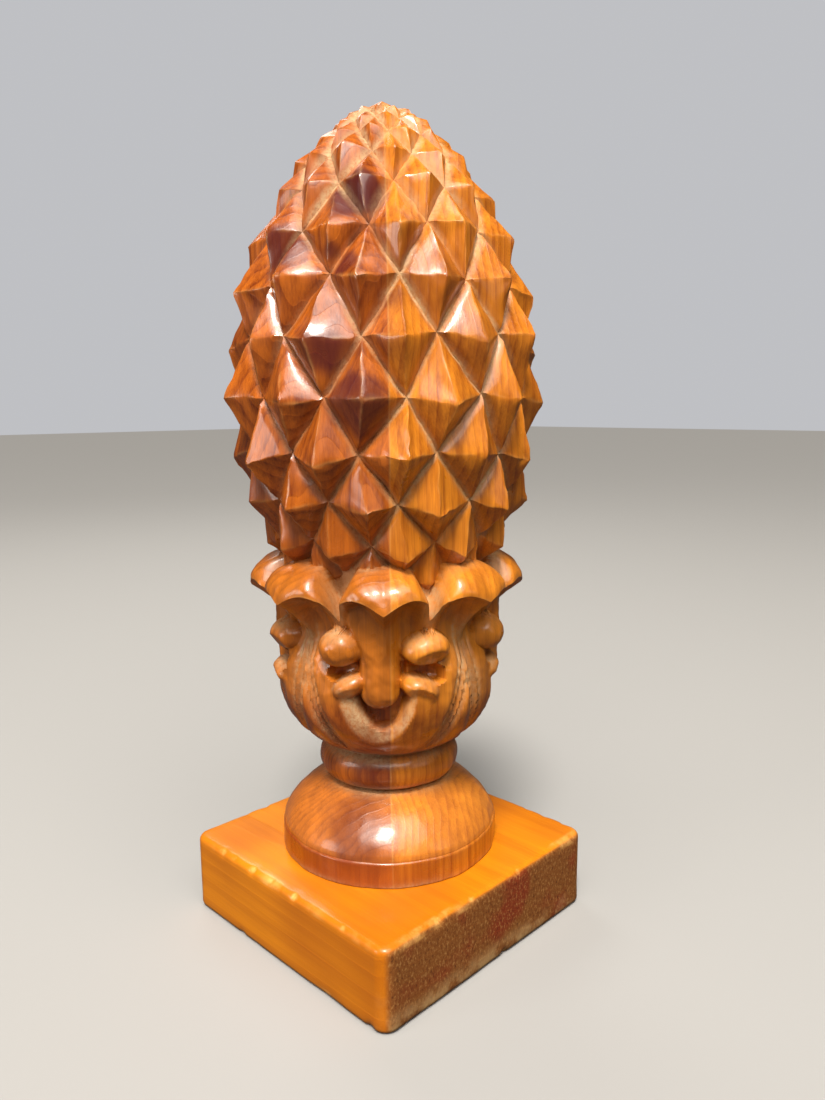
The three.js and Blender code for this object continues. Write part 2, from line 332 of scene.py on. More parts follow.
@dataclass(frozen=True)
class Boss:
    """An egg-shaped form with a cut underside and, where it has a crest, a bevel below it.

    Attributes:
        egg: The plain form.
        floor: Height of the cut underside, 0 for none.
        crest: Height of the crest that the lower bevel starts from, 0 for none.
        bevel_lift: How far the bevel starts outside the face.
        bevel_slope: Fall of the bevel towards the axis over its height.
        floor_bow: Bow of the cut underside.
        floor_slope: Steepness of the cut underside.
    """

    egg: Egg
    floor: float
    crest: float
    bevel_lift: float = 0.2
    bevel_slope: float = 0.8
    floor_bow: float = 0.04
    floor_slope: float = 5.0

    def surface(self, offset: Array, z: Array) -> tuple[Array, Array]:
        """Radii of the form and how much dust its top can hold.

        Args:
            offset: Angle from the middle of the leaf, in radians.
            z: Heights.

        Returns:
            Radii, 0 beside the form; and the share of its top, from 0 to 1.
        """
        egg = self.egg
        face = np.nan_to_num(egg.faces(offset, z)[1], nan=0.0)
        away = (offset - math.radians(egg.turn)) * egg.face
        line = z - math.tan(egg.tilt) * away
        if self.crest > 0.0:
            below = np.maximum(self.crest - line, 0.0)
            face = np.minimum(face, egg.face + self.bevel_lift - self.bevel_slope * below)
        if self.floor > 0.0:
            sunk = np.maximum(self.floor + self.floor_bow * away**2 - z, 0.0)
            face = np.where(sunk > 0.0, np.maximum(face - self.floor_slope * sunk, 0.0), face)
        top = smooth_step(egg.height, egg.height + egg.tall, line)
        return face, top


@dataclass(frozen=True)
class Grid:
    """Laid-out points of the cup's skin, axes row and column.

    Attributes:
        angle: Polar angles, in radians.
        z: Heights.
        v: Places across the nearest leaf, 0 in its middle and 1 at its ends.
        offset: Angles from the middle of the nearest front leaf, in radians.
        unlike: How the nearest leaf differs from the others, faded to its ends.
        leaf: Number of the nearest front leaf.
    """

    angle: Array
    z: Array
    v: Array
    offset: Array
    unlike: Array
    leaf: Array

    def place(self, radius: Array) -> Array:
        """Positions at the given radii.

        Args:
            radius: Radii.

        Returns:
            Positions.
        """
        return np.stack([radius * np.cos(self.angle), radius * np.sin(self.angle), self.z], axis=2)


@dataclass
class TurnedFoot:
    """Round foot and neck ring under the cup.

    Attributes:
        base_height: Height where the foot stands.
        radius: Radius of the foot.
        rim: Height of its upright rim.
        top: Height of its swelling top above the base.
        waist: Radius where the top meets the neck ring.
        bulge: How far the ring stands out.
        ring: Height of the ring.
        core: Radius of the hidden ends inside the wood.
        sole_inset: Distance from the rim where the flat sole ends.
        low_arris: Rounding of the rim's lower arris.
        high_arris: Rounding of the rim's upper arris.
        bend_in: How far the swell's bend lies inside the rim.
        bend_down: How far the swell's bend lies below the ring.
        neck: Radius and height of the points above the ring.
        flat_count: Knife flats round the rim.
        flat_depth: Depth of a flat over the radius.
        columns: Points round the foot.
    """

    base_height: float = 28.0
    radius: float = 38.5
    rim: float = 9.0
    top: float = 26.0
    waist: float = 19.5
    bulge: float = 5.3
    ring: float = 12.6
    core: float = 6.0
    sole_inset: float = 0.8
    low_arris: float = 0.6
    high_arris: float = 1.0
    bend_in: float = 3.5
    bend_down: float = 6.5
    neck: tuple[tuple[float, float], ...] = ((21.2, 66.4), (21.0, 67.4), (21.0, 69.0), (6.0, 69.5))
    flat_count: int = 21
    flat_depth: float = 0.004
    columns: int = 168

    def profile(self) -> tuple[Array, Array, Array]:
        """Outline of the foot and ring from the bottom up.

        Returns:
            Points as radius and height, dust and wear along the outline.
        """
        floor, shoulder = self.base_height, self.base_height + self.rim
        waist = self.base_height + self.top
        sole = np.linspace(self.core, self.radius - self.sole_inset, 8)
        flat = np.stack([sole, np.full_like(sole, floor)], axis=1)
        low = self._corner(self.radius, floor, self.low_arris, -90.0, 0.0)
        rise = np.linspace(floor + 2.0 * self.low_arris, shoulder - 1.6 * self.high_arris, 8)
        upright = np.stack([np.full_like(rise, self.radius), rise], axis=1)
        high = self._corner(self.radius, shoulder, self.high_arris, 0.0, 62.0, from_top=True)
        t = np.linspace(0.06, 1.0, 22)[:, None]
        start, bend, end = (
            np.array([self.radius, shoulder]),
            np.array([self.radius - self.bend_in, waist - self.bend_down]),
            np.array([self.waist, waist]),
        )
        swell = (1 - t) ** 2 * start + 2 * t * (1 - t) * bend + t**2 * end
        angle = np.radians(np.linspace(-80.0, 62.0, 22))
        ring = np.stack(
            [self.waist + self.bulge * np.cos(angle), waist + self.ring / 2 * (1 + np.sin(angle))], axis=1
        )
        outline = np.vstack([flat, low, upright, high, swell, ring, self.neck])
        height = outline[:, 1]
        above, below = height - waist - self.ring, height - waist
        dust = np.exp(-((below / 1.4) ** 2)) + np.exp(-((above / 2.0) ** 2))
        dust = np.where(height < shoulder + 0.5, np.exp(-(height - floor) / 0.8), dust)
        # The wear round the ring's bulge is partly scuffs and partly painted light that makes the ring
        # paler.
        wear = 0.6 * np.exp(-(((height - shoulder) / 1.0) ** 2)) + 0.35 * np.exp(
            -(((height - waist - self.ring / 2) / 2.6) ** 2)
        )
        return outline, dust, wear

    @staticmethod
    def _corner(
        radius: float, height: float, size: float, start: float, stop: float, from_top: bool = False
    ) -> Array:
        """A small rounded arris.

        Args:
            radius: Radius of the sharp corner.
            height: Height of the sharp corner.
            size: Radius of the rounding.
            start: First angle, in degrees.
            stop: Last angle, in degrees.
            from_top: Whether the arris is at the top of the rim.

        Returns:
            Points as radius and height.
        """
        angle = np.radians(np.linspace(start, stop, 5))
        centre = height - size if from_top else height + size
        return np.stack([radius - size + size * np.cos(angle), centre + size * np.sin(angle)], axis=1)

    def flats(self, angle: Array) -> Array:
        """Shallow knife flats round the rim.

        Args:
            angle: Polar angles, in radians.

        Returns:
            How far the rim stands inside its round.
        """
        inside = np.zeros_like(angle)
        for number in range(self.flat_count):
            turn = 2.0 * math.pi * (number + 0.3 * handwork(number, 0, 60)) / self.flat_count
            away = np.angle(np.exp(1j * (angle - turn)))
            share = 1.0 - self.flat_depth + self.flat_depth * handwork(number, 1, 60)
            flat = self.radius * share / np.cos(np.clip(away, -1.2, 1.2))
            inside = np.minimum(inside, flat - self.radius)
        return inside

    def build(self) -> Skin:
        """Turns the outline and leaves slight flats from the hand work.

        Returns:
            The closed skin.
        """
        outline, dust, wear = self.profile()
        angle = np.linspace(0.0, 2.0 * math.pi, self.columns, endpoint=False)
        radius = outline[:, :1] * np.ones_like(angle)
        rings = np.stack(
            [radius * np.cos(angle), radius * np.sin(angle), outline[:, 1:] * np.ones_like(angle)], axis=2
        )
        flats = self.flats(angle) * smooth_step(27.0, 36.0, outline[:, :1])
        uneven = 0.22 * ripple(rings * [1.0, 1.0, 0.35], 21.0, 5) + 0.07 * ripple(rings, 6.0, 6)
        grow = np.clip((outline[:, :1] - 8.0) / 8.0, 0.0, 1.0) * uneven + flats
        rings[..., 0] += grow * np.cos(angle)
        rings[..., 1] += grow * np.sin(angle)
        around = np.ones_like(angle)
        layers = {Layer.DUST: dust[:, None] * around, Layer.WEAR: wear[:, None] * around}
        return Skin.over_rings(rings, layers)


@dataclass
class LeafCup:
    """Cup of eight leaves with domed lips; every second one has a rib, knobs and curls.

    Attributes:
        bottom: Height where the bowl leaves the neck.
        swell_top: Height where the bowl turns upright.
        top: Height where the skin ends inside the fruit.
        neck_radius: Radius of the bowl at its bottom.
        radius: Radius of the upright wall.
        first_leaf: Polar angle of the first front leaf, in degrees.
        lip_radius: Reach of a lip's tip.
        lip_edge: Height of a lip's tip.
        lip_top: Height where the middle of a lip meets the fruit.
        lip_back: Radius of a lip where it meets the fruit.
        flare_start: Height where the leaves start to flare.
        pocket_half: Half width of the hollow in a front leaf.
        pocket_shift: How far the hollow lies left of the leaf's middle.
        pocket_middle: Height where the hollow's sides turn into its round bottom.
        pocket_bottom: Height of the hollow's bottom.
        pocket_top: Height where the hollow runs out.
        pocket_floor: Radius of the hollow's floor.
        bevel_depth: Depth of the bevel round the hollow.
        rib_radius: Radius of the rib that hangs in the hollow.
        rib_end: Height of its rounded end.
        rib_face: Reach of its face.
        bowl_power: Fullness of the bowl's swell.
        bow: Height of the arches beside a lip's tip.
        bow_power: Roundness of the arches.
        end_drop: Fall of a lip's edge at its ends.
        unevenness: How far the lips differ in height.
        tongue_fall: How far a lip's edge draws back towards its ends.
        tongue_power: Roundness of a lip in plan.
        notch: Depth of the notch between two lips.
        lip_top_fall: Fall of a lip's back across the leaf.
        lip_top_drop: Further fall at its ends.
        flare_radius: Radius where the flare starts.
        flare_power: Hollowness of the flare in the middle of a leaf.
        flare_hollow: Extra hollowness under the arches.
        roll_curve: Roundness of a lip's dome at its edge.
        roll_power: Fullness of a lip's dome.
        groove_low: Height where the channels start.
        groove_rise: Height over which they lean outwards.
        groove_start: Angle of a channel at its foot, in degrees.
        groove_spread: How far it leans outwards, in degrees.
        groove_power: Roundness of its course.
        gouges: Place, depth and width of the knife lines in a channel.
        channel_depth: Depth of the channel itself.
        channel_width: Half width of the channel.
        channel_in: Heights over which the channels start.
        dust_out: Heights over which the channels' dust runs out.
        wall_fade: Heights over which the wall draws in under the lips.
        rib_lean: Turn of a rib from the middle of its leaf, in degrees.
        rib_stray: How far that turn differs from leaf to leaf.
        rib_spread: How much a rib widens into its lip.
        rib_widens: Heights over which it widens.
        flank_start: Distance from the rib's middle where its flat flank starts.
        flank_slope: Slope of the flank.
        flank_lift: How far the flank starts outside the rib's face.
        bowl_rows: Rows of points up the bowl.
        upright_rows: Rows up the upright wall.
        flare_rows: Rows up the flare.
        dome_rows: Rows over the lips.
        columns: Points round the cup.
    """

    bottom: float = 67.0
    swell_top: float = 92.0
    top: float = 138.0
    neck_radius: float = 20.0
    radius: float = 38.6
    first_leaf: float = -45.0
    lip_radius: float = 48.0
    lip_edge: float = 121.8
    lip_top: float = 135.0
    lip_back: float = 33.0
    flare_start: float = 103.0
    pocket_half: float = 9.6
    pocket_shift: float = 1.2
    pocket_middle: float = 94.0
    pocket_bottom: float = 80.5
    pocket_top: float = 109.0
    pocket_floor: float = 28.6
    bevel_depth: float = 2.7
    rib_radius: float = 6.6
    rib_end: float = 87.5
    rib_face: float = 38.8
    bowl_power: float = 0.62
    bow: float = 3.7
    bow_power: float = 1.1
    end_drop: float = 5.2
    unevenness: float = 0.7
    tongue_fall: float = 5.4
    tongue_power: float = 1.8
    notch: float = 5.8
    lip_top_fall: float = 3.6
    lip_top_drop: float = 9.5
    flare_radius: float = 33.5
    flare_power: float = 2.3
    flare_hollow: float = 3.4
    roll_curve: float = 2.1
    roll_power: float = 0.66
    groove_low: float = 70.0
    groove_rise: float = 33.0
    groove_start: float = 25.0
    groove_spread: float = 19.0
    groove_power: float = 0.6
    gouges: tuple[tuple[float, float, float], ...] = ((0.0, 1.9, 1.0), (-2.6, 0.9, 0.6), (2.4, 1.2, 0.7))
    channel_depth: float = 0.8
    channel_width: float = 3.8
    channel_in: Pair = (69.0, 74.0)
    dust_out: Pair = (121.0, 110.0)
    wall_fade: Pair = (97.0, 114.0)
    rib_lean: float = 2.6
    rib_stray: float = 1.2
    rib_spread: float = 0.6
    rib_widens: Pair = (102.0, 119.0)
    flank_start: float = 2.6
    flank_slope: float = 1.15
    flank_lift: float = 0.4
    bowl_rows: int = 32
    upright_rows: int = 22
    flare_rows: int = 38
    dome_rows: int = 22
    columns: int = 360

    def wall(self, z: Array) -> Array:
        """Radius of the plain bowl.

        Args:
            z: Heights.

        Returns:
            Radii.
        """
        fall = np.clip((self.swell_top - z) / (self.swell_top - self.bottom), 0.0, 1.0)
        return self.neck_radius + (self.radius - self.neck_radius) * (1.0 - fall**2) ** self.bowl_power

    def edge(self, v: Array, unlike: Array) -> Array:
        """Height of a lip's edge across its leaf: a drooping tip between two arches.

        Args:
            v: Place across the leaf, 0 in the middle and 1 at its ends.
            unlike: How this leaf differs from the others, from -1 to 1.

        Returns:
            Heights.
        """
        bow = (self.bow - self.unevenness * unlike) * np.abs(np.sin(math.pi * v)) ** self.bow_power
        tip = self.lip_edge + self.unevenness * unlike * (1.0 - v)
        return tip + bow - self.end_drop * smooth_step(0.8, 1.0, v)

    def reach(self, v: Array, unlike: Array) -> Array:
        """Radius of a lip's edge across its leaf.

        Args:
            v: Place across the leaf, 0 in the middle and 1 at its ends.
            unlike: How this leaf differs from the others, from -1 to 1.

        Returns:
            Radii.
        """
        tip = self.lip_radius - 0.5 * (1.0 + unlike) * (1.0 - v)
        return tip - self.tongue_fall * v**self.tongue_power - self.notch * smooth_step(0.76, 1.0, v)

    def back(self, v: Array) -> Array:
        """Height where a lip's dome meets the fruit.

        Args:
            v: Place across the leaf, 0 in the middle and 1 at its ends.

        Returns:
            Heights.
        """
        return self.lip_top - self.lip_top_fall * v**2 - self.lip_top_drop * smooth_step(0.55, 1.0, v)

    def flare(self, v: Array, z: Array, unlike: Array) -> Array:
        """Radius of the hollow flare under a lip and of the dome over it.

        Args:
            v: Place across the leaf.
            z: Heights.
            unlike: How each leaf differs from the others.

        Returns:
            Radii, 0 below the flare.
        """
        edge, reach, back = self.edge(v, unlike), self.reach(v, unlike), self.back(v)
        rise = np.clip((z - self.flare_start) / (edge - self.flare_start), 0.0, 1.0)
        arch = np.sin(math.pi * np.clip(v / 0.9, 0.0, 1.0)) ** 2
        hollow = self.flare_power + self.flare_hollow * arch
        out = self.flare_radius + (reach - self.flare_radius) * rise**hollow
        under = np.where(rise > 0.0, out, 0.0)
        over = np.clip((z - edge) / (back - edge), 0.0, 1.0)
        dome = self.lip_back + (reach - self.lip_back) * (1.0 - over**self.roll_curve) ** self.roll_power
        return np.where(z <= edge, under, dome)

    def groove(self, z: Array) -> Array:
        """Angle of the channel beside a front leaf.

        Args:
            z: Heights.

        Returns:
            Angles from the middle of the leaf, in radians.
        """
        climb = np.clip((z - self.groove_low) / self.groove_rise, 0.0, 1.0)
        return np.radians(self.groove_start + self.groove_spread * climb**self.groove_power)

    def forms(self, leaf: int) -> tuple[list[Boss], list[Egg]]:
        """Knobs and curls of one front leaf, and the hollow eyes between them.

        Args:
            leaf: Number of the leaf.

        Returns:
            Forms that stand out, and forms that are cut out.
        """
        n = handwork(leaf, 1, 7)
        m = handwork(leaf, 2, 7)
        proud = [
            Boss(
                Egg(turn=-23.4 + n, height=107.8, face=42.3, deep=7.0, wide=7.2, tall=6.6),
                floor=102.6,
                crest=0.0,
            ),
            Boss(
                Egg(turn=21.8 + m, height=107.0, face=42.0, deep=7.2, wide=8.0, tall=6.2, tilt=0.12),
                floor=102.4 - 0.5 * m,
                crest=108.2,
            ),
            Boss(
                Egg(turn=-19.4, height=95.2 + 0.4 * n, face=40.4, deep=6.0, wide=6.4, tall=3.7, tilt=0.48),
                floor=0.0,
                crest=95.4,
            ),
            Boss(
                Egg(turn=18.6, height=94.6 + 0.4 * m, face=40.8, deep=6.4, wide=6.8, tall=4.1, tilt=-0.42),
                floor=0.0,
                crest=95.6,
            ),
        ]
        hollow = [
            Egg(turn=-20.6, height=100.6, face=41.4, deep=4.6, wide=5.6, tall=3.4, tilt=0.25),
            Egg(turn=20.4, height=99.8, face=41.6, deep=5.2, wide=7.0, tall=4.2, tilt=-0.25),
        ]
        return proud, hollow

    def grid(self) -> Grid:
        """Lays the points of the skin out so that one row follows the lips' edges.

        Returns:
            The laid-out points; columns stand closer in the middle of the front leaves.
        """
        part = np.linspace(-1.0, 1.0, self.columns // 4, endpoint=False)
        quarter = 45.0 * (part - 0.25 * np.sin(math.pi * part) / math.pi)
        turn = np.concatenate([quarter + 90.0 * leaf for leaf in range(4)])
        from_front = np.tile(quarter, 4)
        v = np.abs((turn + 22.5) % 45.0 - 22.5) / 22.5
        number = np.round(turn / 45.0).astype(int) % 8
        unlike = np.array([handwork(leaf, 3, 40) for leaf in range(8)])[number] * (1.0 - v**2)
        edge = self.edge(v, unlike)
        climb = 1.0 - np.cos(0.5 * math.pi * np.linspace(0.0, 1.0, self.bowl_rows))
        bowl = self.bottom + (self.swell_top - self.bottom) * climb
        upright = np.linspace(self.swell_top, self.flare_start, self.upright_rows)[1:]
        flare = np.linspace(0.0, 1.0, self.flare_rows)[1:, None]
        dome = np.linspace(0.0, 1.0, self.dome_rows)[1:, None] ** 1.1
        z = np.vstack(
            [
                np.repeat(np.concatenate([bowl, upright])[:, None], self.columns, axis=1),
                self.flare_start + flare * (edge - self.flare_start),
                edge + dome * (self.top - edge),
            ]
        )
        full = np.ones_like(z)
        return Grid(
            angle=np.radians(turn + self.first_leaf) * full,
            z=z,
            v=v * full,
            offset=np.radians(from_front) * full,
            unlike=unlike * full,
            leaf=np.repeat(np.arange(4), self.columns // 4) * full,
        )

    def build(self) -> Skin:
        """Carves the cup.

        Returns:
            The closed skin.
        """
        grid = self.grid()
        z, v, offset = grid.z, grid.v, grid.offset
        edge = self.edge(v, grid.unlike)
        across = offset * self.radius
        radius = self.wall(z)
        dust = np.zeros_like(z)

        away = np.abs(across) - self.groove(z) * self.radius
        low = smooth_step(*self.channel_in, z)
        run_out = smooth_step(*self.dust_out, z)
        for place, depth, width in self.gouges:
            line = np.exp(-(((away - place) / width) ** 2)) * low
            radius -= depth * line
            dust = np.maximum(dust, line * run_out)
        channel = np.exp(-((away / self.channel_width) ** 2)) * low
        radius -= self.channel_depth * channel
        dust = np.maximum(dust, 0.45 * channel * run_out)

        radius = radius + (self.lip_back - radius) * smooth_step(*self.wall_fade, z)
        radius, bevel = self._pocket(radius, across, z)
        dust = np.maximum(dust, bevel)
        for leaf in range(4):
            mine = grid.leaf == leaf
            radius[mine], crumbs = self._raise_forms(radius[mine], offset[mine], z[mine], edge[mine], leaf)
            dust[mine] = np.maximum(dust[mine], crumbs)
        radius = blend_max(radius, self.flare(v, z, grid.unlike), 0.5)

        points = grid.place(radius)
        outside = smooth_step(21.0, 26.0, radius)
        radius = radius + outside * (0.2 * ripple(points, 8.0, 11) + 0.08 * ripple(points, 2.8, 12))
        wear = np.exp(-(((z - edge) / 0.6) ** 2)) * (v < 0.92)
        notch = smooth_step(0.8, 0.97, v) * smooth_step(110.0, 119.0, z)
        behind = smooth_step(-3.2, 0.2, z - self.back(v)) * (z > 118.0)
        dust = np.maximum(dust, np.maximum(notch, behind))
        dust = np.maximum(dust, 0.7 * smooth_step(72.0, 68.0, z))
        return Skin.over_rings(grid.place(radius), {Layer.DUST: dust, Layer.WEAR: wear})

    def _pocket(self, radius: Array, across: Array, z: Array) -> tuple[Array, Array]:
        """Hollows the middle of each front leaf and bevels the rim of the hollow.

        Args:
            radius: Radii so far.
            across: Distance round the wall from the middle of the leaf.
            z: Heights.

        Returns:
            New radii, and the dust that lies on the bevel.
        """
        drop = self.pocket_middle - self.pocket_bottom
        sideways = (across + self.pocket_shift) / self.pocket_half
        low = np.minimum(z - self.pocket_middle, 0.0)
        outside = (np.hypot(sideways, low / drop) - 1.0) * np.where(low < 0.0, 11.0, self.pocket_half)
        width = 4.0 - 1.7 * np.clip(sideways, -1.0, 1.0)
        open_top = smooth_step(self.pocket_top, self.pocket_top - 8.0, z)
        bevel = np.clip(1.0 - outside / width, 0.0, 1.0)
        cut = radius - self.bevel_depth * bevel * open_top
        floor = self.pocket_floor + 3.2 * (z - self.bottom) / (self.top - self.bottom)
        inside = smooth_step(0.2, -0.9, outside) * open_top
        cut = cut + (np.minimum(floor, cut) - cut) * inside
        dust = smooth_step(0.02, 0.3, bevel) * (1.0 - inside) * smooth_step(100.0, 90.0, z)
        return cut, dust

    def _raise_forms(
        self, radius: Array, offset: Array, z: Array, edge: Array, leaf: int
    ) -> tuple[Array, Array]:
        """Cuts the eyes and raises the rib, knobs and curls of one front leaf.

        Args:
            radius: Radii so far.
            offset: Angle from the middle of the leaf.
            z: Heights.
            edge: Heights of the lip's edge.
            leaf: Number of the leaf.

        Returns:
            New radii, and the dust that lies on the forms.
        """
        proud, hollow = self.forms(leaf)
        made = radius.copy()
        dust = np.zeros_like(z)
        for egg in hollow:
            near, far = egg.faces(offset, z)
            met = (near < made) & (far > made)
            made = np.where(met, near, made)
        made = blend_max(made, np.where(z < edge, self._rib(offset, z, leaf), 0.0), 0.6)
        for boss in proud:
            face, top = boss.surface(offset, z)
            made = blend_max(made, face, 0.5)
            dust = np.maximum(dust, 0.8 * top * (face > made - 0.35))
        return made, dust

    def _rib(self, offset: Array, z: Array, leaf: int) -> Array:
        """Radius of the rib, a round bar with one flat flank that widens up into the lip.

        Args:
            offset: Angle from the middle of the leaf.
            z: Heights.
            leaf: Number of the leaf.

        Returns:
            Radii, 0 beside the rib.
        """
        angle = offset + math.radians(self.rib_lean + self.rib_stray * handwork(leaf, 0, 9))
        low = np.clip((self.rib_end + self.rib_radius - z) / self.rib_radius, 0.0, 1.0)
        half = self.rib_radius * np.sqrt(np.maximum(1.0 - low**2, 0.0))
        half = half * (1.0 + self.rib_spread * smooth_step(*self.rib_widens, z))
        centre = self.rib_face - self.rib_radius
        reach = half**2 - (centre * np.sin(angle)) ** 2
        face = np.where(reach > 0.0, centre * np.cos(angle) + np.sqrt(np.maximum(reach, 0.0)), 0.0)
        beside = np.maximum(angle * self.radius - self.flank_start, 0.0)
        flank = self.rib_face + self.flank_lift - self.flank_slope * beside
        return np.minimum(face, flank)


@dataclass
class ScaledFruit:
    """Fruit cut into diamond scales by two sets of crossing spirals.

    Attributes:
        widest: Height of the widest part.
        radius: Groove radius there.
        top: Height of the top.
        lower_axis: Half height of the lower half's ellipse.
        spirals: Spirals each way.
        row_step: Rise of one row over the local radius.
        first_row: Height of the lowest row, inside the cup.
        cap_radius: Radius where the rows stop.
        turn: Polar angle of the first crossing, in degrees.
        scale_height: Height of a scale over its width.
        shoulder: Fullness of the upper half.
        stray: How far crossings stray, over their spacing.
        droop: How far peaks sit below the middle of their scale, over the row's rise.
        droop_stray: How far the droop differs from scale to scale.
        peak_stray: How far peaks stray sideways, over the spacing.
        height_stray: How far scales differ in height.
        channel_depth: Depth of the knife cut along the bottom of each groove.
        wander: Slow unevenness of ridges and grooves.
        shiver: Quick unevenness of ridges and grooves.
        hollow: How hollow or full facets are, over their length.
        ridge_round: How far ridges are rounded off.
        tip_round: How far peaks are rounded off.
        dust_width: Width of the dust beside a groove.
        crown_dust: Extra width of the dust on the crown.
        crown_rise: Heights over which the crown's dust widens.
        across: Places of the strips along a groove.
        up: Places of the strips from a groove to a peak.
        up_crown: The same for the small scales of the crown.
        crown_row: First row of the crown.
    """

    widest: float = 188.0
    radius: float = 46.8
    top: float = 279.5
    lower_axis: float = 80.0
    spirals: int = 12
    row_step: float = 0.37
    first_row: float = 123.0
    cap_radius: float = 7.0
    turn: float = -22.3
    scale_height: float = 0.27
    shoulder: float = 0.72
    stray: float = 0.07
    droop: float = 0.12
    droop_stray: float = 1.2
    peak_stray: float = 0.1
    height_stray: float = 0.16
    channel_depth: float = 0.8
    wander: float = 0.3
    shiver: float = 0.2
    hollow: float = 0.02
    ridge_round: float = 0.14
    tip_round: float = 0.2
    dust_width: float = 1.5
    crown_dust: float = 0.9
    crown_rise: Pair = (225.0, 250.0)
    across: tuple[float, ...] = (0.0, 0.03, 0.1, 0.22, 0.36, 0.5, 0.64, 0.78, 0.9, 0.97, 1.0)
    up: tuple[float, ...] = (0.0, 0.05, 0.11, 0.22, 0.36, 0.52, 0.68, 0.82, 0.93, 1.0)
    up_crown: tuple[float, ...] = (0.0, 0.12, 0.32, 0.62, 0.9, 1.0)
    crown_row: int = 9

    def groove_radius(self, z: Array) -> Array:
        """Radius at the bottom of the grooves.

        Args:
            z: Heights.

        Returns:
            Radii.
        """
        z = np.asarray(z, float)
        below = np.sqrt(np.maximum(1.0 - ((self.widest - z) / self.lower_axis) ** 2, 0.0))
        rise = np.clip((z - self.widest) / (self.top - self.widest), 0.0, 1.0)
        return self.radius * np.where(z < self.widest, below, (1.0 - rise**2) ** self.shoulder)

    def slope(self, z: Array) -> Array:
        """Change of the groove radius over a millimetre of height.

        Args:
            z: Heights.

        Returns:
            Slopes.
        """
        return self.groove_radius(z + 0.5) - self.groove_radius(z - 0.5)

    def rows(self) -> list[float]:
        """Heights of the rows of crossings.

        Returns:
            Heights from the lowest row up.
        """
        heights = [self.first_row]
        while float(self.groove_radius(heights[-1])) > self.cap_radius:
            z = heights[-1]
            step = self.row_step * float(self.groove_radius(z)) / math.hypot(1.0, float(self.slope(z)))
            heights.append(z + step)
        return heights

    @staticmethod
    def _point(radius: float, angle: float, z: float) -> Array:
        """Position from a radius, polar angle and height.

        Args:
            radius: Radius.
            angle: Polar angle, in radians.
            z: Height.

        Returns:
            The position.
        """
        return np.array([radius * math.cos(angle), radius * math.sin(angle), z])

    def crossing(self, heights: list[float], row: int, column: int) -> Array:
        """Position where two grooves cross.

        Args:
            heights: Heights of the rows.
            row: Row of the crossing.
            column: Column of the crossing.

        Returns:
            The position.
        """
        column %= self.spirals
        pitch = 2.0 * math.pi / self.spirals
        angle = math.radians(self.turn) + pitch * (column + (row % 2) / 2.0)
        angle = angle + self.stray * pitch * handwork(row, column, 1)
        spacing = self.stray * self.row_step * float(self.groove_radius(heights[row]))
        lift = spacing * handwork(row, column, 2)
        z = heights[row] + lift
        return self._point(float(self.groove_radius(z)), angle, z)

    def peak(self, heights: list[float], row: int, column: int) -> Array:
        """Position of a scale's peak.

        Args:
            heights: Heights of the rows.
            row: Row of the scale.
            column: Column of the scale.

        Returns:
            The position.
        """
        pitch = 2.0 * math.pi / self.spirals
        width = pitch * float(self.groove_radius(heights[row]))
        rise = self.droop * (heights[row] - heights[row - 1])
        droop = rise * (1.0 + self.droop_stray * handwork(row, column, 3))
        z = heights[row] - droop
        middle = column + (row % 2) / 2.0 + 0.5 + self.peak_stray * handwork(row, column, 4)
        angle = math.radians(self.turn) + pitch * middle
        height = self.scale_height * width * (1.0 + self.height_stray * handwork(row, column, 5))
        slope = float(self.slope(z))
        lean = math.hypot(1.0, slope)
        return self._point(float(self.groove_radius(z)) + height / lean, angle, z - slope * height / lean)

    def chips(self, heights: list[float]) -> Array:
        """Places where bits of a scale's edge have broken off.

        Args:
            heights: Heights of the rows.

        Returns:
            Middle, radius and depth of each chip.
        """
        found = []
        for row in range(1, self.crown_row + 2):
            for column in range(self.spirals):
                if handwork(row, column, 50) < 0.0:
                    continue
                side = column + (0 if handwork(row, column, 51) < 0.0 else 1)
                along = 0.1 + 0.6 * abs(handwork(row, column, 52))
                peak = self.peak(heights, row, column)
                middle = peak + (self.crossing(heights, row, side) - peak) * along
                size = abs(handwork(row, column, 53))
                found.append([*middle, 1.3 + 1.5 * size, 0.35 + 0.6 * abs(handwork(row, column, 54))])
        return np.array(found)

    def build(self) -> Skin:
        """Cuts every scale as four facets that meet at its peak.

        Returns:
            The closed skin.
        """
        heights = self.rows()
        points: list[Array] = []
        layers: dict[Layer, list[Array]] = {layer: [] for layer in Layer}
        faces: list[tuple[int, ...]] = []
        chips = self.chips(heights)
        for row in range(1, len(heights) - 1):
            for column in range(self.spirals):
                beside = column + row % 2
                left = self.crossing(heights, row, column)
                right = self.crossing(heights, row, column + 1)
                above = self.crossing(heights, row + 1, beside)
                below = self.crossing(heights, row - 1, beside)
                peak = self.peak(heights, row, column)
                for number, (start, end) in enumerate(
                    ((above, left), (right, above), (left, below), (below, right))
                ):
                    bend = handwork(row, column, 20 + number)
                    steps = self.up if row < self.crown_row else self.up_crown
                    self._facet(points, layers, faces, (start, end, peak), bend, steps, chips)
        painted_on = {layer: np.concatenate(parts) for layer, parts in layers.items()}
        skin = weld(Skin(np.vstack(points), faces, painted_on), 1e-3)
        self._close(skin)
        return skin

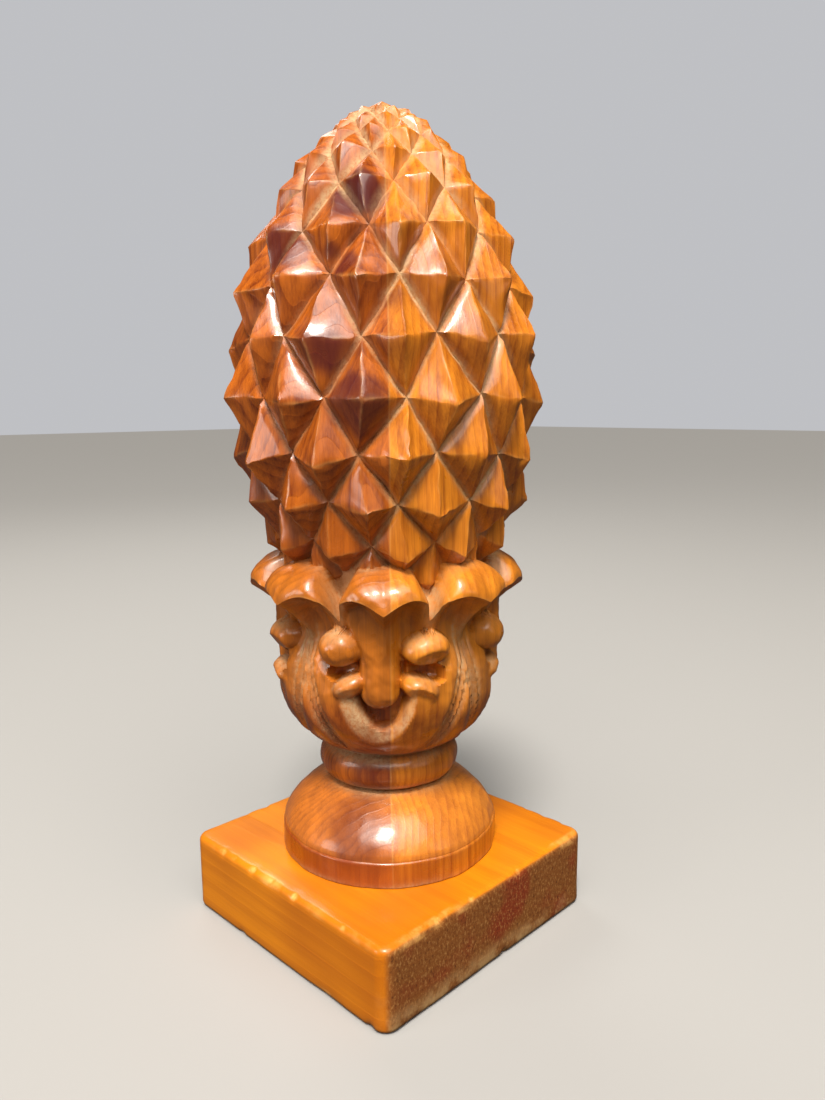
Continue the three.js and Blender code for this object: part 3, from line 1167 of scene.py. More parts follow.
    def _facet(
        self,
        points: list[Array],
        layers: dict[Layer, list[Array]],
        faces: list[tuple[int, ...]],
        corners: tuple[Array, Array, Array],
        bend: float,
        steps: tuple[float, ...],
        chips: Array,
    ) -> None:
        """Adds one facet as a fan of strips from a groove to the peak, with worn ridges.

        Args:
            points: Positions so far; the facet's are added.
            layers: Painted values so far; the facet's are added.
            faces: Faces so far; the facet's are added.
            corners: Both ends of the groove, and the peak.
            bend: How hollow or full the facet is, from -1 to 1.
            steps: Places of the strips between the groove and the peak.
            chips: Middle, radius and depth of each chip.
        """
        start, end, peak = corners
        s = np.array(self.across)[:, None]
        t = np.array(steps)[None, :]
        on_groove = start + (end - start) * s[..., None]
        rise = peak - on_groove
        place = on_groove + rise * t[..., None]
        normal = np.cross(end - start, peak - start)
        normal /= np.linalg.norm(normal)
        length = float(np.linalg.norm(end - start))
        run = np.linalg.norm(rise, axis=2)
        to_groove = 0.8 * run * t
        to_ridge = np.minimum(s, 1.0 - s) * length * (1.0 - t) * 0.75
        fine = np.clip(self.groove_radius(place[..., 2]) / 36.0, 0.2, 1.0)
        out = self._outward(place)
        wander = np.stack([ripple(place, 9.0, seed) for seed in (41, 42, 43)], axis=-1)
        shiver = np.stack([ripple(place, 3.6, seed) for seed in (44, 45, 46)], axis=-1)
        hollow = bend * self.hollow * length * (4.0 * s * (1.0 - s) * 4.0 * t * (1.0 - t))
        near = np.exp(-np.minimum(to_ridge, to_groove) / 1.6) * fine
        uneven = (self.wander * wander + self.shiver * shiver) * near[..., None]
        place = place + normal * hollow[..., None] + uneven
        ridge = np.exp(-to_ridge / 0.4)
        tip = np.exp(-(1.0 - t) * run / 0.8)
        lift = -(self.ridge_round * ridge + self.tip_round * tip) * smooth_step(0.0, 0.3, t) * fine
        knife = smooth_step(1.7, 0.6, to_groove) * (1.0 - t) * np.clip(fine, 0.45, 1.0)
        lift = lift - self.channel_depth * knife
        for chip in chips:
            if np.linalg.norm(chip[:3] - peak) < 26.0:
                away = np.linalg.norm(place - chip[:3], axis=2) / chip[3]
                lift = lift - chip[4] * np.exp(-(away**4))
        place = place + out * lift[..., None]
        first = sum(len(part) for part in points)
        rows, columns = s.shape[0], t.shape[1]
        points.append(place.reshape(-1, 3))
        broad = self.dust_width + self.crown_dust * smooth_step(*self.crown_rise, place[..., 2])
        layers[Layer.DUST].append(smooth_step(1.0, 0.3, to_groove / broad).reshape(-1))
        layers[Layer.WEAR].append(
            (np.maximum(np.exp(-to_ridge / 0.8), tip) * (1.0 - np.exp(-to_groove / 2.5))).reshape(-1)
        )
        number = np.arange(rows * columns).reshape(rows, columns) + first
        for i in range(rows - 1):
            for j in range(columns - 1):
                a, b, c, d = number[i, j], number[i + 1, j], number[i + 1, j + 1], number[i, j + 1]
                if j == columns - 2:
                    faces.append((int(a), int(b), int(c)))
                else:
                    faces.append((int(a), int(b), int(c), int(d)))

    def _outward(self, place: Array) -> Array:
        """Directions square to the plain fruit.

        Args:
            place: Positions.

        Returns:
            Unit directions.
        """
        slope = self.slope(np.clip(place[..., 2], self.first_row, self.top - 1.0))
        plan = np.hypot(place[..., 0], place[..., 1]) + 1e-6
        out = np.stack([place[..., 0] / plan, place[..., 1] / plan, -slope], axis=-1)
        return out / np.linalg.norm(out, axis=-1, keepdims=True)

    def _close(self, skin: Skin) -> None:
        """Closes the open rings of grooves at the bottom and the top.

        Args:
            skin: The skin, changed in place.
        """
        edges: dict[tuple[int, int], int] = {}
        for face in skin.faces:
            for a, b in zip(face, face[1:] + face[:1]):
                edges[(a, b)] = edges.get((a, b), 0) + 1
        low, high = len(skin.points), len(skin.points) + 1
        crown = float(skin.points[:, 2].max())
        skin.points = np.vstack([skin.points, [0.0, 0.0, self.first_row], [0.0, 0.0, max(self.top, crown)]])
        skin.layers[Layer.DUST] = np.append(skin.layers[Layer.DUST], [0.0, 0.15])
        skin.layers[Layer.WEAR] = np.append(skin.layers[Layer.WEAR], [0.0, 0.1])
        for a, b in list(edges):
            if (b, a) not in edges:
                centre = low if skin.points[a, 2] < self.widest else high
                skin.faces.append((b, a, centre))


def weld(skin: Skin, distance: float) -> Skin:
    """Merges vertices that lie together and drops faces that collapse.

    Args:
        skin: The skin.
        distance: Largest distance between merged vertices.

    Returns:
        The welded skin.
    """
    mesh = bmesh.new()
    dust = mesh.verts.layers.float.new(Layer.DUST.value)
    wear = mesh.verts.layers.float.new(Layer.WEAR.value)
    made = [mesh.verts.new(place) for place in skin.points.tolist()]
    for vertex, dusty, worn in zip(made, skin.layers[Layer.DUST], skin.layers[Layer.WEAR]):
        vertex[dust], vertex[wear] = float(dusty), float(worn)
    for face in skin.faces:
        mesh.faces.new([made[i] for i in face])
    bmesh.ops.remove_doubles(mesh, verts=mesh.verts, dist=distance)
    mesh.verts.index_update()
    points = np.array([vertex.co[:] for vertex in mesh.verts])
    faces = [tuple(vertex.index for vertex in face.verts) for face in mesh.faces]
    layers = {
        Layer.DUST: np.array([vertex[dust] for vertex in mesh.verts]),
        Layer.WEAR: np.array([vertex[wear] for vertex in mesh.verts]),
    }
    mesh.free()
    return Skin(points, faces, layers)


@dataclass
class SquareBase:
    """Square block under the foot, with rounded corners and worn arrises.

    Attributes:
        side: Length of a side.
        height: Height of the block.
        corner: Radius of its upright corners.
        arris: Radius of its top and bottom arrises.
        insets: Distances of the flat faces' rings from the sides, from the middle out.
        arris_rings: Rings over one arris.
        side_rings: Rings up a side.
        knocks: Chips along one side.
        columns: Points round the block.
    """

    side: float = 102.0
    height: float = 28.0
    corner: float = 5.0
    arris: float = 2.2
    insets: tuple[float, ...] = (46.0, 38.0, 28.0, 18.0, 9.0, 4.5)
    arris_rings: int = 6
    side_rings: int = 16
    knocks: int = 9
    columns: int = 400

    def outline(self, inset: float) -> Array:
        """Rounded square.

        Args:
            inset: Distance from the block's sides.

        Returns:
            Points as x and y, running anticlockwise.
        """
        half = self.side / 2.0 - inset
        radius = max(self.corner - inset, 0.4)
        per_side = self.columns // 4
        points = []
        for quarter in range(4):
            start = math.radians(90.0 * quarter)
            turn = np.radians(np.linspace(0.0, 90.0, 11)) + start
            middle = start + math.pi / 4.0
            centre = (half - radius) * math.sqrt(2.0) * np.array([math.cos(middle), math.sin(middle)])
            arc = centre + radius * np.stack([np.cos(turn), np.sin(turn)], axis=1)
            after = start + math.pi / 2.0
            along = np.array([math.cos(after + math.pi / 2), math.sin(after + math.pi / 2)])
            run = np.linspace(0.0, 2.0 * (half - radius), per_side - 9)[1:-1, None]
            points.append(np.vstack([arc, arc[-1] + along * run]))
        return np.vstack(points)

    def chips(self) -> Array:
        """Places where the arrises have been knocked.

        Returns:
            Middle, radius and depth of each chip.
        """
        half = self.side / 2.0
        found = []
        for side in range(4):
            turn = math.radians(90.0 * side)
            out = Vector((math.cos(turn), math.sin(turn)))
            along = Vector((-math.sin(turn), math.cos(turn)))
            for number in range(self.knocks):
                far = 0.92 * half * handwork(side, number, 70)
                plan = half * out + far * along
                z = self.height if handwork(side, number, 71) > -0.5 else 0.6
                size = 0.9 + 1.3 * abs(handwork(side, number, 72))
                depth = 0.3 + 0.5 * abs(handwork(side, number, 73))
                found.append([plan.x, plan.y, z, size, depth])
        return np.array(found)

    def build(self) -> Skin:
        """Shapes the block ring by ring and knocks its arrises.

        Returns:
            The closed skin.
        """
        levels = [(inset, 0.0, 0.0) for inset in self.insets]
        round_over = [math.radians(degree) for degree in np.linspace(0.0, 90.0, self.arris_rings)]
        for turn in round_over:
            levels.append((self.arris * (1 - math.sin(turn)), self.arris * (1 - math.cos(turn)), 1.0))
        for z in np.linspace(self.arris, self.height - self.arris, self.side_rings)[1:-1]:
            levels.append((0.0, float(z), 0.0))
        for turn in round_over:
            z = self.height - self.arris * (1 - math.sin(turn))
            levels.append((self.arris * (1 - math.cos(turn)), z, 1.0))
        levels.extend((inset, self.height, 0.0) for inset in reversed(self.insets))
        rings = np.stack(
            [np.column_stack([self.outline(i), np.full(len(self.outline(i)), z)]) for i, z, _ in levels]
        )
        arris = np.array([level[2] for level in levels])[:, None] * np.ones(rings.shape[1])
        diagonal = self.side * 0.5 * math.sqrt(2.0)
        upright = np.exp(-((diagonal - np.hypot(rings[..., 0], rings[..., 1]) - 2.0) / 3.0))
        inset = np.array([level[0] for level in levels])[:, None]
        upright = np.clip(upright, 0.0, 1.0) * (inset < 3.0)
        edge = np.maximum(arris, upright)
        rubbed = np.clip(ripple(rings, 24.0, 32), 0.0, 1.0)
        knock = 0.25 * rubbed
        chipped = np.zeros_like(rubbed)
        for chip in self.chips():
            away = np.linalg.norm(rings - chip[:3], axis=2) / chip[3]
            chipped = np.maximum(chipped, np.exp(-(away**4)))
            knock = knock + chip[4] * np.exp(-(away**4))
        middle = np.array([0.0, 0.0, self.height / 2.0])
        inward = middle - rings
        inward /= np.linalg.norm(inward, axis=2, keepdims=True)
        rings = rings + inward * (np.maximum(edge, 0.3) * knock)[..., None]
        on_floor = np.array([level[1] == 0.0 for level in levels])
        rings[on_floor, :, 2] = 0.0
        wear = edge * np.maximum(0.3 + 0.25 * rubbed, chipped)
        return Skin.over_rings(rings, {Layer.DUST: np.zeros_like(wear), Layer.WEAR: wear})


@dataclass
class Sketch:
    """A node tree being drawn, with short ways to add and wire nodes.

    Attributes:
        tree: The node tree.
    """

    tree: bpy.types.NodeTree

    def add(self, kind: str, **settings: object) -> bpy.types.Node:
        """Adds a node.

        Args:
            kind: Type name of the node.
            settings: Values of its properties.

        Returns:
            The node.
        """
        node = self.tree.nodes.new(kind)
        for name, value in settings.items():
            setattr(node, name, value)
        return node

    def feed(self, socket: Socket, source: object) -> None:
        """Wires an output into a socket, or sets the socket's own value.

        Args:
            socket: Input socket.
            source: Output socket or plain value.
        """
        if isinstance(source, Socket):
            self.tree.links.new(source, socket)
        else:
            socket.default_value = source

    def maths(self, operation: str, a: object, b: object = 0.0, clamp: bool = False) -> Socket:
        """Adds a sum of one or two numbers.

        Args:
            operation: Name of the operation.
            a: First value or output.
            b: Second value or output.
            clamp: Whether the result is held between 0 and 1.

        Returns:
            The result.
        """
        node = self.add("ShaderNodeMath", operation=operation, use_clamp=clamp)
        self.feed(node.inputs[0], a)
        self.feed(node.inputs[1], b)
        return node.outputs[0]

    def noise(self, vector: object, scale: float, detail: float = 3.0, rough: float = 0.55) -> Socket:
        """Adds a cloudy pattern.

        Args:
            vector: Where it is read.
            scale: Patches to the metre.
            detail: Layers of finer patches.
            rough: Strength of the finer patches.

        Returns:
            Values from 0 to 1.
        """
        node = self.add("ShaderNodeTexNoise")
        self.feed(node.inputs["Vector"], vector)
        node.inputs["Scale"].default_value = scale
        node.inputs["Detail"].default_value = detail
        node.inputs["Roughness"].default_value = rough
        return node.outputs["Fac"]

    def span(
        self, value: object, low: float, high: float, to_low: float = 0.0, to_high: float = 1.0
    ) -> Socket:
        """Maps a range of values to another, with eased ends.

        Args:
            value: Value or output.
            low: Start of the range.
            high: End of the range.
            to_low: Result at the start.
            to_high: Result at the end.

        Returns:
            The result.
        """
        node = self.add("ShaderNodeMapRange", interpolation_type="SMOOTHSTEP")
        self.feed(node.inputs["Value"], value)
        for name, number in (("From Min", low), ("From Max", high), ("To Min", to_low), ("To Max", to_high)):
            node.inputs[name].default_value = number
        return node.outputs["Result"]

    def mix(self, factor: object, a: object, b: object, how: str = "MIX") -> Socket:
        """Mixes two colours.

        Args:
            factor: Share of the second colour.
            a: First colour or output.
            b: Second colour or output.
            how: Blend type.

        Returns:
            The mixed colour.
        """
        node = self.add("ShaderNodeMix", data_type="RGBA", blend_type=how)
        self.feed(node.inputs["Factor"], factor)
        self.feed(node.inputs["A"], a)
        self.feed(node.inputs["B"], b)
        return node.outputs["Result"]

    def stretch(
        self,
        vector: object,
        scale: Triple = (1.0, 1.0, 1.0),
        turn: Triple = (0.0, 0.0, 0.0),
        move: Triple = (0.0, 0.0, 0.0),
    ) -> Socket:
        """Moves, turns and stretches the place where patterns are read.

        Args:
            vector: Place or output.
            scale: Factors along the axes.
            turn: Turns about the axes, in radians.
            move: Shift along the axes.

        Returns:
            The changed place.
        """
        node = self.add("ShaderNodeMapping", vector_type="POINT")
        self.feed(node.inputs["Vector"], vector)
        node.inputs["Location"].default_value = move
        node.inputs["Rotation"].default_value = turn
        node.inputs["Scale"].default_value = scale
        return node.outputs["Vector"]

    def split(self, vector: object) -> list[Socket]:
        """Parts a place or direction.

        Args:
            vector: Place, direction or output.

        Returns:
            Its x, y and z.
        """
        node = self.add("ShaderNodeSeparateXYZ")
        self.feed(node.inputs[0], vector)
        return list(node.outputs)

    def times(self, a: object, b: object, clamp: bool = False) -> Socket:
        """Multiplies two numbers.

        Args:
            a: First value or output.
            b: Second value or output.
            clamp: Whether the result is held between 0 and 1.

        Returns:
            The product.
        """
        return self.maths("MULTIPLY", a, b, clamp)

    def plus(self, a: object, b: object, clamp: bool = False) -> Socket:
        """Adds two numbers.

        Args:
            a: First value or output.
            b: Second value or output.
            clamp: Whether the result is held between 0 and 1.

        Returns:
            The sum.
        """
        return self.maths("ADD", a, b, clamp)


class Effects:
    """Surface effects shared by the finishes, each a node group that is built once."""

    def __init__(self) -> None:
        """Starts with no group built."""
        self._built: dict[str, bpy.types.NodeTree] = {}

    def _start(
        self, name: str, inputs: dict[str, tuple[str, object]], outputs: dict[str, str]
    ) -> tuple[Sketch, bpy.types.Node, bpy.types.Node]:
        """Makes an empty group with named sockets.

        Args:
            name: Name of the group.
            inputs: Socket type and start value of each input.
            outputs: Socket type of each output.

        Returns:
            The sketch, and its input and output nodes.
        """
        tree = bpy.data.node_groups.new(name, "ShaderNodeTree")
        for label, (kind, value) in inputs.items():
            socket = tree.interface.new_socket(label, in_out="INPUT", socket_type=kind)
            if value is not None:
                socket.default_value = value
        for label, kind in outputs.items():
            tree.interface.new_socket(label, in_out="OUTPUT", socket_type=kind)
        sketch = Sketch(tree)
        self._built[name] = tree
        return sketch, sketch.add("NodeGroupInput"), sketch.add("NodeGroupOutput")

    def grain(self) -> bpy.types.NodeTree:
        """Growth rings and fibres that run along the third axis of the place they are read at.

        Returns:
            The group; its outputs are a light-to-dark value, the fibres alone and a relief.
        """
        if "Wood grain" in self._built:
            return self._built["Wood grain"]
        sketch, given, made = self._start(
            "Wood grain",
            {"Place": ("NodeSocketVector", None), "Ring spacing": ("NodeSocketFloat", 0.004)},
            {"Tone": "NodeSocketFloat", "Fibre": "NodeSocketFloat", "Relief": "NodeSocketFloat"},
        )
        place = given.outputs["Place"]
        slow = sketch.stretch(place, (1.0, 1.0, 0.12))
        warp = sketch.noise(slow, 38.0, 2.0)
        x, y, _ = sketch.split(place)
        square = sketch.plus(sketch.maths("POWER", x, 2.0), sketch.maths("POWER", y, 2.0))
        distance = sketch.plus(sketch.maths("SQRT", square), sketch.times(warp, 0.012))
        count = sketch.maths("DIVIDE", distance, given.outputs["Ring spacing"])
        saw = sketch.maths("FRACT", count)
        late = sketch.span(saw, 0.35, 0.97)
        fall = sketch.span(saw, 0.97, 1.0, 1.0, 0.0)
        ring = sketch.times(late, fall)
        fibre = sketch.noise(sketch.stretch(place, (1.0, 1.0, 0.022)), 1700.0, 4.0, 0.6)
        streak = sketch.noise(sketch.stretch(place, (1.0, 1.0, 0.05)), 260.0, 3.0)
        tone = sketch.plus(sketch.times(ring, 0.3), sketch.span(streak, 0.25, 0.75, 0.0, 0.55))
        tone = sketch.plus(tone, sketch.span(fibre, 0.3, 0.75, -0.14, 0.2), clamp=True)
        sketch.feed(made.inputs["Tone"], tone)
        sketch.feed(made.inputs["Fibre"], fibre)
        relief = sketch.plus(sketch.times(fibre, 0.7), sketch.times(ring, 0.5))
        sketch.feed(made.inputs["Relief"], relief)
        return self._built["Wood grain"]

    def dust(self) -> bpy.types.NodeTree:
        """Pale dust that settles where the dust layer says, broken into patches.

        Returns:
            The group; its output is the share of dust.
        """
        if "Settled dust" in self._built:
            return self._built["Settled dust"]
        sketch, given, made = self._start(
            "Settled dust",
            {
                "Place": ("NodeSocketVector", None),
                "Layer": ("NodeSocketFloat", 0.0),
                "Amount": ("NodeSocketFloat", 1.0),
            },
            {"Share": "NodeSocketFloat"},
        )
        patches = sketch.span(sketch.noise(given.outputs["Place"], 55.0, 3.0), 0.36, 0.66, 0.25, 1.0)
        crumbs = sketch.span(sketch.noise(given.outputs["Place"], 900.0, 4.0, 0.7), 0.3, 0.62, 0.35, 1.0)
        share = sketch.times(sketch.times(patches, crumbs), given.outputs["Layer"])
        sketch.feed(made.inputs["Share"], sketch.times(share, given.outputs["Amount"], clamp=True))
        return self._built["Settled dust"]

    def wear(self) -> bpy.types.NodeTree:
        """Rubbed and knocked edges where the wear layer says, broken along their length.

        Returns:
            The group; its output is the share of bare wood.
        """
        if "Rubbed edges" in self._built:
            return self._built["Rubbed edges"]
        sketch, given, made = self._start(
            "Rubbed edges",
            {
                "Place": ("NodeSocketVector", None),
                "Layer": ("NodeSocketFloat", 0.0),
                "Amount": ("NodeSocketFloat", 1.0),
            },
            {"Share": "NodeSocketFloat"},
        )
        broken = sketch.span(sketch.noise(given.outputs["Place"], 130.0, 4.0, 0.65), 0.38, 0.68)
        share = sketch.times(broken, sketch.span(given.outputs["Layer"], 0.25, 0.9))
        sketch.feed(made.inputs["Share"], sketch.times(share, given.outputs["Amount"], clamp=True))
        return self._built["Rubbed edges"]

    def use(self, sketch: Sketch, group: bpy.types.NodeTree, **given: object) -> bpy.types.Node:
        """Places a group in a material.

        Args:
            sketch: Sketch of the material.
            group: The group.
            given: Values or outputs for its inputs, with underscores for spaces.

        Returns:
            The group's node.
        """
        node = sketch.add("ShaderNodeGroup", node_tree=group)
        for name, source in given.items():
            sketch.feed(node.inputs[name.replace("_", " ")], source)
        return node

    def share(
        self, sketch: Sketch, group: bpy.types.NodeTree, place: Socket, layer: Layer, amount: object
    ) -> Socket:
        """Places a group that spreads a painted layer.

        Args:
            sketch: Sketch of the material.
            group: The group.
            place: Where the surface is.
            layer: The painted layer.
            amount: Strength, or an output that gives it.

        Returns:
            The share of the effect.
        """
        node = self.use(sketch, group, Place=place, Layer=painted(sketch, layer), Amount=amount)
        return node.outputs["Share"]


def painted(sketch: Sketch, layer: Layer) -> Socket:
    """Reads a painted layer in a material.

    Args:
        sketch: Sketch of the material.
        layer: The layer.

    Returns:
        The layer's value.
    """
    return sketch.add("ShaderNodeAttribute", attribute_name=layer.value).outputs["Fac"]


@dataclass(frozen=True)
class CarvedWood:
    """Varnished wood of the carving: two boards glued side by side, dusty in its cuts, with painted light on
    the leaves and the foot's top and painted shade on the bowl and the foot's rim.

    Attributes:
        dark: Deep colour of the left board.
        light: Light colour of the left board.
        second_dark: Deep colour of the right board.
        second_light: Light colour of the right board.
        dust: Colour of the dust.
        bare: Colour of rubbed edges.
        stain: Colour of the plum-dark patches.
        rubbed: Lighter colour painted on the leaves as painted light, over their ribs, knobs and lips.
        foot_top_sheen: Colour of the painted sheen on the foot's upward top.
        rim: Colour of the painted shade on the foot's upright rim.
        seam_angle: Polar angle of the glued joint, in degrees.
        stains: Middle, radius and share of each dark patch.
        glue: Colour of the glued joint.
        leaf_light_rise: Heights over which the painted light on the leaves starts, in metres, as in the next
            five.
        leaf_light_fall: Heights over which it ends.
        rim_top: Heights over which the foot's rim turns into its top.
        foot_sheen_fall: Heights over which the foot's painted sheen ends.
        bowl_dirt_and_shade_rise: Heights over which the bowl's darkening, painted shade with some grime,
            starts.
        bowl_dirt_and_shade_fall: Heights over which it ends.
        coat_rough: Roughness of the varnish.
        shine: Strength of the wood's own reflection.
        relief: Strength of the grain's relief.
        relief_depth: Depth of the grain's relief, in metres.
    """

    dark: Colour = (0.12, 0.014, 0.002, 1.0)
    light: Colour = (0.47, 0.115, 0.008, 1.0)
    second_dark: Colour = (0.26, 0.052, 0.003, 1.0)
    second_light: Colour = (0.66, 0.215, 0.014, 1.0)
    dust: Colour = (0.52, 0.36, 0.19, 1.0)
    bare: Colour = (0.74, 0.40, 0.13, 1.0)
    stain: Colour = (0.070, 0.007, 0.009, 1.0)
    rubbed: Colour = (0.78, 0.30, 0.028, 1.0)
    foot_top_sheen: Colour = (0.62, 0.225, 0.045, 1.0)
    rim: Colour = (0.24, 0.042, 0.005, 1.0)
    seam_angle: float = -42.2
    stains: tuple[tuple[float, float, float, float, float], ...] = (
        (17.0, -31.0, 43.0, 14.0, 0.6),
        (22.0, -44.0, 200.0, 13.0, 0.85),
        (27.0, -41.5, 184.0, 12.0, 0.7),
        (-2.0, -42.0, 229.0, 12.0, 0.8),
        (20.5, -29.5, 243.0, 9.0, 0.9),
        (24.0, -37.0, 222.0, 8.0, 0.8),
        (34.0, -29.0, 214.0, 9.0, 0.6),
        (14.0, -20.0, 62.0, 10.0, 0.5),
        (-30.0, 28.0, 190.0, 18.0, 0.5),
        (36.0, 24.0, 168.0, 14.0, 0.4),
        (-22.0, -38.0, 160.0, 16.0, 0.45),
    )
    glue: Colour = (0.55, 0.27, 0.08, 1.0)
    leaf_light_rise: Pair = (0.084, 0.094)
    leaf_light_fall: Pair = (0.138, 0.128)
    rim_top: Pair = (0.0366, 0.0376)
    foot_sheen_fall: Pair = (0.058, 0.052)
    bowl_dirt_and_shade_rise: Pair = (0.066, 0.069)
    bowl_dirt_and_shade_fall: Pair = (0.092, 0.080)
    coat_rough: float = 0.14
    shine: float = 0.4
    relief: float = 0.22
    relief_depth: float = 0.0004

    def build(self, effects: Effects) -> bpy.types.Material:
        """Makes the material.

        Args:
            effects: Shared effects.

        Returns:
            The material.
        """
        material = bpy.data.materials.new("carved wood")
        material.use_nodes = True
        sketch = Sketch(material.node_tree)
        shader = material.node_tree.nodes["Principled BSDF"]
        place = sketch.add("ShaderNodeTexCoord").outputs["Object"]
        turned = sketch.stretch(place, turn=(0.0, 0.0, math.radians(-self.seam_angle)))
        across = sketch.split(turned)[1]
        board = sketch.span(across, -0.0002, 0.0002)
        seam = sketch.span(sketch.maths("ABSOLUTE", across), 0.0, 0.0005, 1.0, 0.0)
        pith = sketch.stretch(turned, move=(0.07, 0.03, 0.0))
        first = effects.use(sketch, effects.grain(), Place=pith, Ring_spacing=0.0023)
        second_pith = sketch.stretch(turned, move=(-0.02, -0.09, 0.3))
        second = effects.use(sketch, effects.grain(), Place=second_pith, Ring_spacing=0.0027)
        left = sketch.mix(first.outputs["Tone"], self.light, self.dark)
        right = sketch.mix(second.outputs["Tone"], self.second_light, self.second_dark)
        wood = sketch.mix(board, left, right)
        cloud = sketch.noise(place, 26.0, 3.0)
        wood = sketch.mix(sketch.span(cloud, 0.48, 0.72, 0.0, 0.5), wood, self.dark)
        z = sketch.split(place)[2]
        # Painted sheen: the foot's top is made paler from its rim up towards the ring.
        top = sketch.times(sketch.span(z, *self.rim_top), sketch.span(z, *self.foot_sheen_fall, 0.0, 0.28))
        wood = sketch.mix(top, wood, self.foot_top_sheen)
        for *middle, reach, share in self.stains:
            away = sketch.add("ShaderNodeVectorMath", operation="DISTANCE")
            sketch.feed(away.inputs[0], place)
            away.inputs[1].default_value = [number * MM for number in middle]
            ragged = sketch.plus(away.outputs["Value"], sketch.span(cloud, 0.3, 0.7, -0.006, 0.006))
            patch = sketch.span(ragged, reach * MM, 0.45 * reach * MM, 0.0, share)
            wood = sketch.mix(patch, wood, self.stain)
        wood = sketch.mix(sketch.times(seam, 0.35), wood, self.glue)
        # Painted light: a lighter colour over the leaves, from the bowl up to the lips.
        leaves = sketch.times(sketch.span(z, *self.leaf_light_rise), sketch.span(z, *self.leaf_light_fall, 0.0, 0.2))
        wood = sketch.mix(leaves, wood, self.rubbed)
        # Painted shade with some grime: the lower bowl under the leaves is darkened.
        bowl = sketch.times(sketch.span(z, *self.bowl_dirt_and_shade_rise), sketch.span(z, *self.bowl_dirt_and_shade_fall, 0.0, 0.35))
        wood = sketch.mix(bowl, wood, self.dark)
        # Painted shade: the foot's upright rim is darkened, more on the left than on the right.
        edge = sketch.span(z, *reversed(self.rim_top))
        side = sketch.span(across, -0.02, 0.03, 0.7, 0.2)
        wood = sketch.mix(sketch.times(edge, side), wood, self.rim)
        worn = effects.share(sketch, effects.wear(), place, Layer.WEAR, 0.22)
        wood = sketch.mix(worn, wood, self.bare)
        on_right = sketch.span(across, -0.030, 0.012, 0.3, 0.9)
        settled = sketch.maths("MAXIMUM", on_right, sketch.span(z, 0.21, 0.25))
        settled = sketch.maths("MAXIMUM", settled, sketch.span(z, 0.122, 0.112, 0.0, 0.9))
        dusty = effects.share(sketch, effects.dust(), place, Layer.DUST, settled)
        sketch.feed(shader.inputs["Base Color"], sketch.mix(dusty, wood, self.dust))
        gloss = sketch.span(sketch.noise(place, 70.0, 3.0), 0.3, 0.7, 0.26, 0.42)
        rough = sketch.plus(gloss, sketch.times(dusty, 0.5), clamp=True)
        sketch.feed(shader.inputs["Roughness"], rough)
        sketch.feed(shader.inputs["Coat Weight"], sketch.maths("SUBTRACT", 0.4, dusty, clamp=True))
        shader.inputs["Coat Roughness"].default_value = self.coat_rough
        shader.inputs["Specular IOR Level"].default_value = self.shine
        relief = sketch.mix(board, first.outputs["Relief"], second.outputs["Relief"])
        bump = sketch.add("ShaderNodeBump")
        bump.inputs["Strength"].default_value = self.relief
        bump.inputs["Distance"].default_value = self.relief_depth
        sketch.feed(bump.inputs["Height"], relief)
        sketch.feed(shader.inputs["Normal"], bump.outputs["Normal"])
        return material


